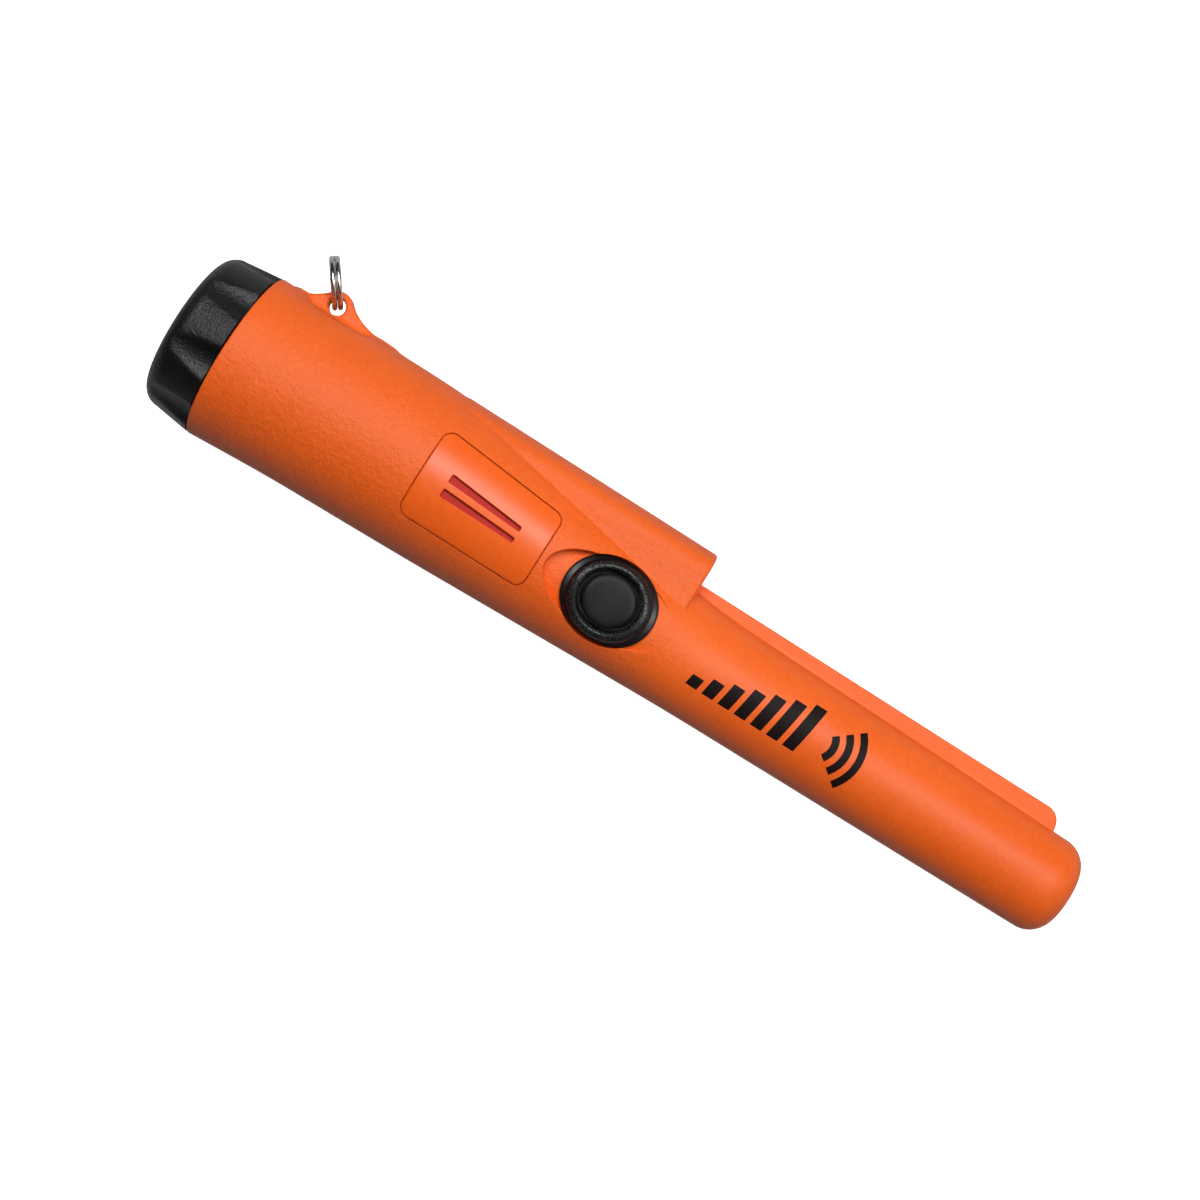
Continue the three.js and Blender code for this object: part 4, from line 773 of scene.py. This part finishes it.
band = both(grains, compare(grains, "GREATER_THAN", level, grains_in.outputs["Inner radius"]),
            compare(grains, "LESS_THAN", level, grains_in.outputs["Outer radius"]))
band = both(grains, band, compare(grains, "GREATER_THAN", apart.outputs[2], grains_in.outputs["Lowest"]))
grains.links.new(band, scatter.inputs["Selection"])
bead = grains.nodes.new("GeometryNodeMeshIcoSphere")
bead.inputs["Subdivisions"].default_value = 1
grains.links.new(grains_in.outputs["Grain radius"], bead.inputs["Radius"])
place = grains.nodes.new("GeometryNodeInstanceOnPoints")
grains.links.new(scatter.outputs["Points"], place.inputs["Points"])
grains.links.new(bead.outputs["Mesh"], place.inputs["Instance"])
grains.links.new(scatter.outputs["Rotation"], place.inputs["Rotation"])
vary = grains.nodes.new("FunctionNodeRandomValue")
vary.inputs[2].default_value, vary.inputs[3].default_value = 0.6, 1.15
vary.inputs["Seed"].default_value = 3
grains.links.new(vary.outputs[1], place.inputs["Scale"])
both_parts = grains.nodes.new("GeometryNodeJoinGeometry")
grains.links.new(grains_in.outputs["Geometry"], both_parts.inputs[0])
grains.links.new(place.outputs[0], both_parts.inputs[0])
finish_tree(grains, both_parts.outputs[0], grains_out, grains_in.outputs["Material"])
boot_middle = (BUTTON_X * MM, PAD_Y * MM, 0.0)
grown_from(boot, grains, grain_keys, {"Inner radius": 0.0071, "Outer radius": 0.0091, "Grain radius": 0.00020,
                                      "Spacing": 0.00034, "Lowest": 0.0098, "Centre": boot_middle,
                                      "Material": rubber})
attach(boot, "housing")
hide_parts("button_boot")

# ---- Push button ----
# A separate black rubber disc, slightly dished, with a skirt under the boot that keeps it in.
button_line = [(-5.7, 0), (-5.7, 1.7), (-1.9, 2.2), (-1.9, 6.6), (-0.9, 6.6), (-0.7, 5.95), (1.2, 5.95), (1.45, 5.9),
               (1.62, 5.78), (1.74, 5.55), (1.79, 5.2), (1.76, 4.8), (1.66, 4.3), (1.52, 3.7), (1.38, 3.0),
               (1.26, 2.2), (1.17, 1.4), (1.12, 0.7), (1.1, 0)]
circle = np.linspace(0, 2 * math.pi, 128, endpoint=False)
button = lofted("push_button_disc", [on_button([(r * math.cos(a), BOOT_OVAL * 1.03 * r * math.sin(a), h)
                                                for a in circle]) for h, r in button_line[1:-1]])
smooth_by_angle(button, 35)
button_skin = moulded("button_skin", (0.006, 0.0042, 0.0046), (0.009, 0.0065, 0.007), (0.44, 0.54), 2400, 0.4, 0.012,
                      specular=0.18)
button.data.materials.append(button_skin)
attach(button, "power_button")
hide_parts("push_button")

# ---- Lamp and its lens ----
# A clear dome-ended lamp behind a clear lens that is pressed flush into the hood's front.
lens_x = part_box("led_lens")[0].x / MM
lens = turned("lamp_lens", [(lens_x, 2.8), (lens_x + 1.45, 2.8), (lens_x + 1.7, 2.72), (lens_x + 1.88, 2.45),
                            (lens_x + 1.99, 1.9), (lens_x + 2.06, 1.2), (lens_x + 2.1, 0.5)], 72, LAMP_Y)
lamp_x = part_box("led")[0].x / MM
dome = [(lamp_x + 6.2 + 2.4 * math.sin(t), 2.4 * math.cos(t)) for t in np.linspace(0, 1.5, 14)]
lamp_body = turned("lamp_body", [(lamp_x, 2.8), (lamp_x + 1, 2.8), (lamp_x + 1.001, 2.4), *dome], 64, LAMP_Y)
clear = bpy.data.materials.new("clear_plastic")
clear.use_nodes = True
clear_shader = clear.node_tree.nodes["Principled BSDF"]
clear_shader.inputs["Base Color"].default_value = (0.93, 0.95, 0.96, 1)
clear_shader.inputs["Transmission Weight"].default_value = 1.0
clear_shader.inputs["IOR"].default_value = 1.49
haze = clear.node_tree.nodes.new("ShaderNodeTexNoise")
haze.inputs["Scale"].default_value = 900
haze_at = clear.node_tree.nodes.new("ShaderNodeTexCoord")
clear.node_tree.links.new(haze_at.outputs["Object"], haze.inputs["Vector"])
haze_range = clear.node_tree.nodes.new("ShaderNodeMapRange")
haze_range.inputs["To Min"].default_value, haze_range.inputs["To Max"].default_value = 0.03, 0.12
clear.node_tree.links.new(haze.outputs["Fac"], haze_range.inputs["Value"])
clear.node_tree.links.new(haze_range.outputs["Result"], clear_shader.inputs["Roughness"])
for piece, node in ((lens, "led_lens"), (lamp_body, "led")):
    smooth_by_angle(piece, 35)
    piece.data.materials.append(clear)
    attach(piece, "housing")
    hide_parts(node)

# ---- Battery cap ----
# Black satin cap with eight broad crests and eight finger flutes, a coin slot, an O-ring groove and a thread.
# Moulded in one, and turned out of the barrel by hand or with a coin.
CAP_END_X, HEAD_END_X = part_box("battery_cap")[0].x / MM, RIM_X - 0.3
FLUTE_CENTRE, FLUTE_RADIUS, LOBE_TURN = 25.618, 7.6, math.radians(90 - 9.4 + 22.5)
CAP_RADIUS, CAP_TAPER, CAP_EDGE, CREST_ROUNDING = 18.535, 1.1, 4, 0.25
PLUG_RADIUS, GROOVE_RADIUS, FOAM_RADIUS, PLUG_BEVEL = 15.685, 14.785, 12.885, 0.6


def cap_head(x, y, z):
    radial, around = np.hypot(y - GRIP_Y, z), np.arctan2(z, y - GRIP_Y)
    share = np.clip((x - CAP_END_X - CAP_EDGE) / (HEAD_END_X - CAP_END_X - CAP_EDGE), 0, 1)
    head = rounded_common(radial - CAP_RADIUS - CAP_TAPER * share, CAP_END_X - x, CAP_EDGE)
    fold = (around - LOBE_TURN + math.pi / 8) % (math.pi / 4) - math.pi / 8
    flute = FLUTE_RADIUS - np.hypot(radial * np.cos(fold) - FLUTE_CENTRE, radial * np.sin(fold))
    return rounded_common(head, flute, CREST_ROUNDING)


arc = np.linspace(0.001, math.pi / 2, 16)
cap_stations = np.concatenate([CAP_END_X + 4 - 4 * np.cos(arc), span(CAP_END_X + 4.5, HEAD_END_X - 0.1, 0.7),
                               [HEAD_END_X - 0.12]])
round_angles = np.linspace(0, 2 * math.pi, 224, endpoint=False)
head = traced_rings(cap_head, cap_stations, round_angles, lambda x: np.full(np.shape(x), GRIP_Y), 21)


def about_cap_axis(ring, scale, x):
    moved = (ring - (0, GRIP_Y, 0)) * (1, scale, scale) + (0, GRIP_Y, 0)
    moved[:, 0] = x
    return moved


def cap_circle(x, radius):
    return np.stack([np.full(224, x), GRIP_Y + radius * np.cos(round_angles), radius * np.sin(round_angles)], 1)


ring_low, ring_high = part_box("cap_o_ring")[0].x / MM - 0.2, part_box("cap_o_ring")[1].x / MM + 0.2
plug_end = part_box("battery_cap")[1].x / MM
pad_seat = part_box("cap_pressure_pad")[0].x / MM - 0.3
cap = lofted("battery_cap_moulding", [
    *[about_cap_axis(head[0], s, CAP_END_X) for s in (0.3, 0.6, 0.9)], *head,
    about_cap_axis(head[-1], 0.992, HEAD_END_X), cap_circle(HEAD_END_X, 17.2), cap_circle(HEAD_END_X, PLUG_RADIUS),
    cap_circle(ring_low, PLUG_RADIUS), cap_circle(ring_low, GROOVE_RADIUS), cap_circle(ring_high, GROOVE_RADIUS),
    cap_circle(ring_high, PLUG_RADIUS), cap_circle(plug_end - PLUG_BEVEL, PLUG_RADIUS),
    cap_circle(plug_end, PLUG_RADIUS - PLUG_BEVEL),
    cap_circle(plug_end, FOAM_RADIUS), cap_circle(pad_seat, FOAM_RADIUS), cap_circle(pad_seat, 6)])
slot_line = rounded_outline([(-1.2, -12), (1.2, -12), (1.2, 12), (-1.2, 12)], 0.9, 8, 10)
coin_slot = lofted("coin_slot", [
    np.stack([np.full(len(slot_line), x), GRIP_Y + grown(slot_line, g)[:, 1], grown(slot_line, g)[:, 0]], 1)
    for x, g in ((CAP_END_X - 1, 0.35), (CAP_END_X, 0.35), (CAP_END_X + 0.35, 0), (CAP_END_X + 1.6, 0))])
combine(cap, [coin_slot], "DIFFERENCE")
combine(cap, [thread_ridge("cap_thread", PLUG_RADIUS, PLUG_RADIUS + 0.8, RIM_X + 3.9, GRIP_Y)], "UNION")
smooth_by_angle(cap, 32)
cap_plastic = moulded("cap_plastic", (0.0025, 0.0022, 0.0025), (0.006, 0.0055, 0.006), (0.30, 0.42), 2600, 0.45, 0.26,
                      specular=0.42)
cap.data.materials.clear()
cap.data.materials.append(cap_plastic)
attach(cap, "battery_cap")
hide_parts("battery_cap")

# ---- Split ring ----
# Two turns of bright spring wire side by side, stepping across where one ends and the next begins.
# It is wound from one length and pushed through the lug's eye.
steel = bpy.data.materials.new("ring_steel")
steel.use_nodes = True
steel_shader = steel.node_tree.nodes["Principled BSDF"]
steel_shader.inputs["Metallic"].default_value = 1.0
scuffs = steel.node_tree.nodes.new("ShaderNodeTexNoise")
scuffs.inputs["Scale"].default_value = 1400
scuffs.inputs["Detail"].default_value = 6
scuff_at = steel.node_tree.nodes.new("ShaderNodeTexCoord")
steel.node_tree.links.new(scuff_at.outputs["Object"], scuffs.inputs["Vector"])
scuff_range = steel.node_tree.nodes.new("ShaderNodeMapRange")
scuff_range.inputs["To Min"].default_value, scuff_range.inputs["To Max"].default_value = 0.10, 0.34
steel.node_tree.links.new(scuffs.outputs["Fac"], scuff_range.inputs["Value"])
steel.node_tree.links.new(scuff_range.outputs["Result"], steel_shader.inputs["Roughness"])
scuff_tint = steel.node_tree.nodes.new("ShaderNodeValToRGB")
scuff_tint.color_ramp.elements[0].color = (0.45, 0.43, 0.41, 1)
scuff_tint.color_ramp.elements[1].color = (0.78, 0.76, 0.73, 1)
steel.node_tree.links.new(scuffs.outputs["Fac"], scuff_tint.inputs["Fac"])
steel.node_tree.links.new(scuff_tint.outputs["Color"], steel_shader.inputs["Base Color"])

coil, coil_in, coil_out, coil_keys = node_tree("split_ring_coil", {
    "Ring radius": ("NodeSocketFloat", 0.0054), "Wire radius": ("NodeSocketFloat", 0.00057),
    "Pitch": ("NodeSocketFloat", 0.00125), "End gap": ("NodeSocketFloat", 0.26),
    "Material": ("NodeSocketMaterial", None)})
line = coil.nodes.new("GeometryNodeMeshLine")
WIRE_POINTS = 260
line.inputs["Count"].default_value = WIRE_POINTS
index = coil.nodes.new("GeometryNodeInputIndex").outputs[0]
gap = coil_in.outputs["End gap"]
sweep_length = math_node(coil, "SUBTRACT", 4 * math.pi, math_node(coil, "MULTIPLY", gap, 2))
share = math_node(coil, "DIVIDE", index, WIRE_POINTS - 1)
turned_by = math_node(coil, "ADD", gap, math_node(coil, "MULTIPLY", sweep_length, share))
across = coil.nodes.new("ShaderNodeMapRange")
across.interpolation_type = "SMOOTHSTEP"
coil.links.new(turned_by, across.inputs["Value"])
coil.links.new(math_node(coil, "SUBTRACT", 2 * math.pi, gap), across.inputs["From Min"])
coil.links.new(math_node(coil, "ADD", 2 * math.pi, gap), across.inputs["From Max"])
coil.links.new(math_node(coil, "MULTIPLY", coil_in.outputs["Pitch"], -0.5), across.inputs["To Min"])
coil.links.new(math_node(coil, "MULTIPLY", coil_in.outputs["Pitch"], 0.5), across.inputs["To Max"])
put = coil.nodes.new("ShaderNodeCombineXYZ")
coil.links.new(across.outputs["Result"], put.inputs["X"])
coil.links.new(math_node(coil, "MULTIPLY", coil_in.outputs["Ring radius"], math_node(coil, "COSINE", turned_by)),
               put.inputs["Y"])
coil.links.new(math_node(coil, "MULTIPLY", coil_in.outputs["Ring radius"], math_node(coil, "SINE", turned_by)),
               put.inputs["Z"])
move = coil.nodes.new("GeometryNodeSetPosition")
coil.links.new(line.outputs[0], move.inputs["Geometry"])
coil.links.new(put.outputs[0], move.inputs["Position"])
as_curve = coil.nodes.new("GeometryNodeMeshToCurve")
coil.links.new(move.outputs[0], as_curve.inputs[0])
wire_section = coil.nodes.new("GeometryNodeCurvePrimitiveCircle")
wire_section.inputs["Resolution"].default_value = 16
coil.links.new(coil_in.outputs["Wire radius"], wire_section.inputs["Radius"])
sweep_mesh = coil.nodes.new("GeometryNodeCurveToMesh")
coil.links.new(as_curve.outputs[0], sweep_mesh.inputs["Curve"])
coil.links.new(wire_section.outputs[0], sweep_mesh.inputs["Profile Curve"])
sweep_mesh.inputs["Fill Caps"].default_value = True
smooth = coil.nodes.new("GeometryNodeSetShadeSmooth")
coil.links.new(sweep_mesh.outputs[0], smooth.inputs[0])
finish_tree(coil, smooth.outputs[0], coil_out, coil_in.outputs["Material"])
RING_RADIUS = 5.42
split_ring = mesh_object("split_ring_coil", [(0, 0, 0)], [])
grown_from(split_ring, coil, coil_keys, {"Ring radius": RING_RADIUS * MM, "Wire radius": 0.000575, "Pitch": 0.00125,
                                         "End gap": math.radians(15), "Material": steel})
lean = math.radians(180 - 53.5)
ring_place = Matrix.Translation(((EYE_X + RING_RADIUS * math.cos(lean)) * MM,
                                 (EYE_Y + RING_RADIUS * math.sin(lean)) * MM, 0))
ring_turn = (Matrix.Rotation(lean - math.pi / 2, 4, "Z") @ Matrix.Rotation(math.radians(6), 4, "Y"))
split_ring.data.transform(ring_place @ ring_turn)
outward(split_ring)
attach(split_ring, "lanyard_ring")
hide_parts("split_ring")

# ---- Printed mark ----
# A generic mark of rising bars and signal arcs, pad-printed in black on the tube below the button.


def printed_patch(rail_a, rail_b):
    """Points and faces of a film between two rails on the tube, 0.02 mm proud, with its underside in the wall."""
    rails = np.linspace(rail_a, rail_b, 9)
    points = []
    for rise in (0.02, -0.05):
        flat = rails.reshape(-1, 2)
        points.append(np.column_stack([flat, shell_top(flat[:, 0], flat[:, 1]) + rise]))
    rows, cols = rails.shape[:2]
    low = rows * cols
    faces = []
    for i in range(rows - 1):
        for j in range(cols - 1):
            a, b, c, d = i * cols + j, i * cols + j + 1, (i + 1) * cols + j + 1, (i + 1) * cols + j
            faces += [(a, b, c, d), (low + d, low + c, low + b, low + a)]
    edge = [i * cols for i in range(rows)] + [(rows - 1) * cols + j for j in range(1, cols)]
    edge += [i * cols + cols - 1 for i in range(rows - 2, -1, -1)] + list(range(cols - 2, 0, -1))
    faces += [(a, b, low + b, low + a) for a, b in zip(edge, edge[1:] + edge[:1])]
    return np.concatenate(points), faces


patches = []
for i in range(7):
    x, tall = -95.6 + 4.1 * i, 2.6 + 1.45 * i
    foot = np.linspace(-4.8, -4.8 + tall, 12)
    slant = (foot + 4.8) * 0.16
    patches.append((np.column_stack([x + slant, foot]), np.column_stack([x + 2.8 + slant, foot])))
for radius in (3.6, 6.7, 9.8):
    wide = np.linspace(-0.66, 0.66, 26)
    patches.append(tuple(np.column_stack([-65.7 + r * np.cos(wide), 0.2 + r * np.sin(wide)])
                         for r in (radius, radius + 1.7)))
mark_points, mark_faces = [], []
for rail_a, rail_b in patches:
    points, faces = printed_patch(rail_a, rail_b)
    start = sum(len(group) for group in mark_points)
    mark_points.append(points)
    mark_faces += [tuple(v + start for v in face) for face in faces]
mark = outward(mesh_object("printed_mark", np.concatenate(mark_points), mark_faces))
ink = moulded("black_ink", (0.006, 0.003, 0.0025), (0.010, 0.005, 0.0045), (0.5, 0.6), 3000, 0.3, 0.004,
              specular=0.12)
mark.data.materials.append(ink)
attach(mark, "housing")


# ---- Inner pieces ----
# Everything behind the housing keeps its shape and gets its own material: moulded, rubber and foam parts by the same
# grain, metal parts by a fine drawn grain, the board by the same grain in a green solder mask.


def dress(paint, *nodes):
    for node in nodes:
        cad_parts[node].data.materials.clear()
        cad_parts[node].data.materials.append(paint)


def drawn_metal(name, dark, light, rough, stretch, scale):
    """A metal with a fine grain drawn out along one axis; stretch is the grain's scale on each axis."""
    paint = bpy.data.materials.new(name)
    paint.use_nodes = True
    tree = paint.node_tree
    shader = tree.nodes["Principled BSDF"]
    shader.inputs["Metallic"].default_value = 1.0
    mapping = tree.nodes.new("ShaderNodeMapping")
    mapping.inputs["Scale"].default_value = stretch
    tree.links.new(tree.nodes.new("ShaderNodeTexCoord").outputs["Object"], mapping.inputs["Vector"])
    streak = tree.nodes.new("ShaderNodeTexNoise")
    streak.inputs["Scale"].default_value = scale
    streak.inputs["Detail"].default_value = 4
    tree.links.new(mapping.outputs["Vector"], streak.inputs["Vector"])
    tint = tree.nodes.new("ShaderNodeValToRGB")
    tint.color_ramp.elements[0].position, tint.color_ramp.elements[1].position = 0.3, 0.7
    tint.color_ramp.elements[0].color, tint.color_ramp.elements[1].color = (*dark, 1), (*light, 1)
    tree.links.new(streak.outputs["Fac"], tint.inputs["Fac"])
    tree.links.new(tint.outputs["Color"], shader.inputs["Base Color"])
    spread = tree.nodes.new("ShaderNodeMapRange")
    spread.inputs["To Min"].default_value, spread.inputs["To Max"].default_value = rough
    tree.links.new(streak.outputs["Fac"], spread.inputs["Value"])
    tree.links.new(spread.outputs["Result"], shader.inputs["Roughness"])
    relief = tree.nodes.new("ShaderNodeBump")
    relief.inputs["Distance"].default_value = 0.01 * MM
    tree.links.new(streak.outputs["Fac"], relief.inputs["Height"])
    tree.links.new(relief.outputs["Normal"], shader.inputs["Normal"])
    return paint


dress(moulded("seal_rubber", (0.010, 0.010, 0.010), (0.018, 0.018, 0.018), (0.30, 0.42), 2600, 0.4, 0.01),
      "cap_o_ring", "speaker_gasket")
dress(moulded("closed_cell_foam", (0.014, 0.014, 0.016), (0.034, 0.034, 0.038), (0.85, 0.95), 1400, 0.7, 0.12),
      "cap_pressure_pad", "tip_foam")
dress(moulded("carrier_nylon", (0.024, 0.027, 0.030), (0.034, 0.037, 0.041), (0.42, 0.54), 2200, 0.4, 0.02),
      "electronics_carrier", "coil_bobbin", "switch_body", "switch_plunger", "contact_plate")
dress(moulded("chip_epoxy", (0.008, 0.008, 0.009), (0.014, 0.014, 0.016), (0.50, 0.62), 4000, 0.3, 0.008),
      "microcontroller", "audio_amplifier")
dress(moulded("sintered_ferrite", (0.034, 0.034, 0.038), (0.055, 0.055, 0.062), (0.60, 0.75), 3200, 0.5, 0.03),
      "ferrite_rod")
dress(moulded("solder_mask", (0.010, 0.090, 0.035), (0.016, 0.125, 0.050), (0.18, 0.30), 700, 0.8, 0.02, coat=0.3),
      "circuit_board")
dress(moulded("red_pvc", (0.42, 0.016, 0.012), (0.50, 0.022, 0.017), (0.25, 0.35), 2000, 0.4, 0.01),
      "battery_wire_red", "speaker_wire_1", "lamp_wire_1", "motor_wire_1", "coil_wire_1")
dress(moulded("black_pvc", (0.009, 0.009, 0.009), (0.014, 0.014, 0.014), (0.25, 0.35), 2000, 0.4, 0.01),
      "battery_wire_black", "speaker_wire_2", "lamp_wire_2", "motor_wire_2", "coil_wire_2")
dress(drawn_metal("battery_jacket", (0.030, 0.036, 0.048), (0.045, 0.052, 0.068), (0.26, 0.38), (0.1, 1, 1), 1500),
      "battery")
dress(drawn_metal("zinc_plated_steel", (0.36, 0.37, 0.40), (0.46, 0.47, 0.49), (0.24, 0.40), (0.15, 1, 1), 2600),
      "carrier_screw_1", "carrier_screw_2", "board_screw_1", "board_screw_2", "battery_negative_terminal",
      "battery_positive_terminal", "vibration_motor", "motor_shaft", "eccentric_weight", "timing_crystal",
      "filter_capacitor_1", "filter_capacitor_2")
dress(drawn_metal("brass_sheet", (0.52, 0.34, 0.075), (0.62, 0.42, 0.10), (0.20, 0.34), (1, 0.15, 1), 2200),
      "positive_contact", "negative_contact", "piezo_speaker")
dress(drawn_metal("enamelled_wire", (0.38, 0.10, 0.030), (0.52, 0.16, 0.055), (0.22, 0.34), (9, 0.02, 0.02), 1300),
      "search_coil")
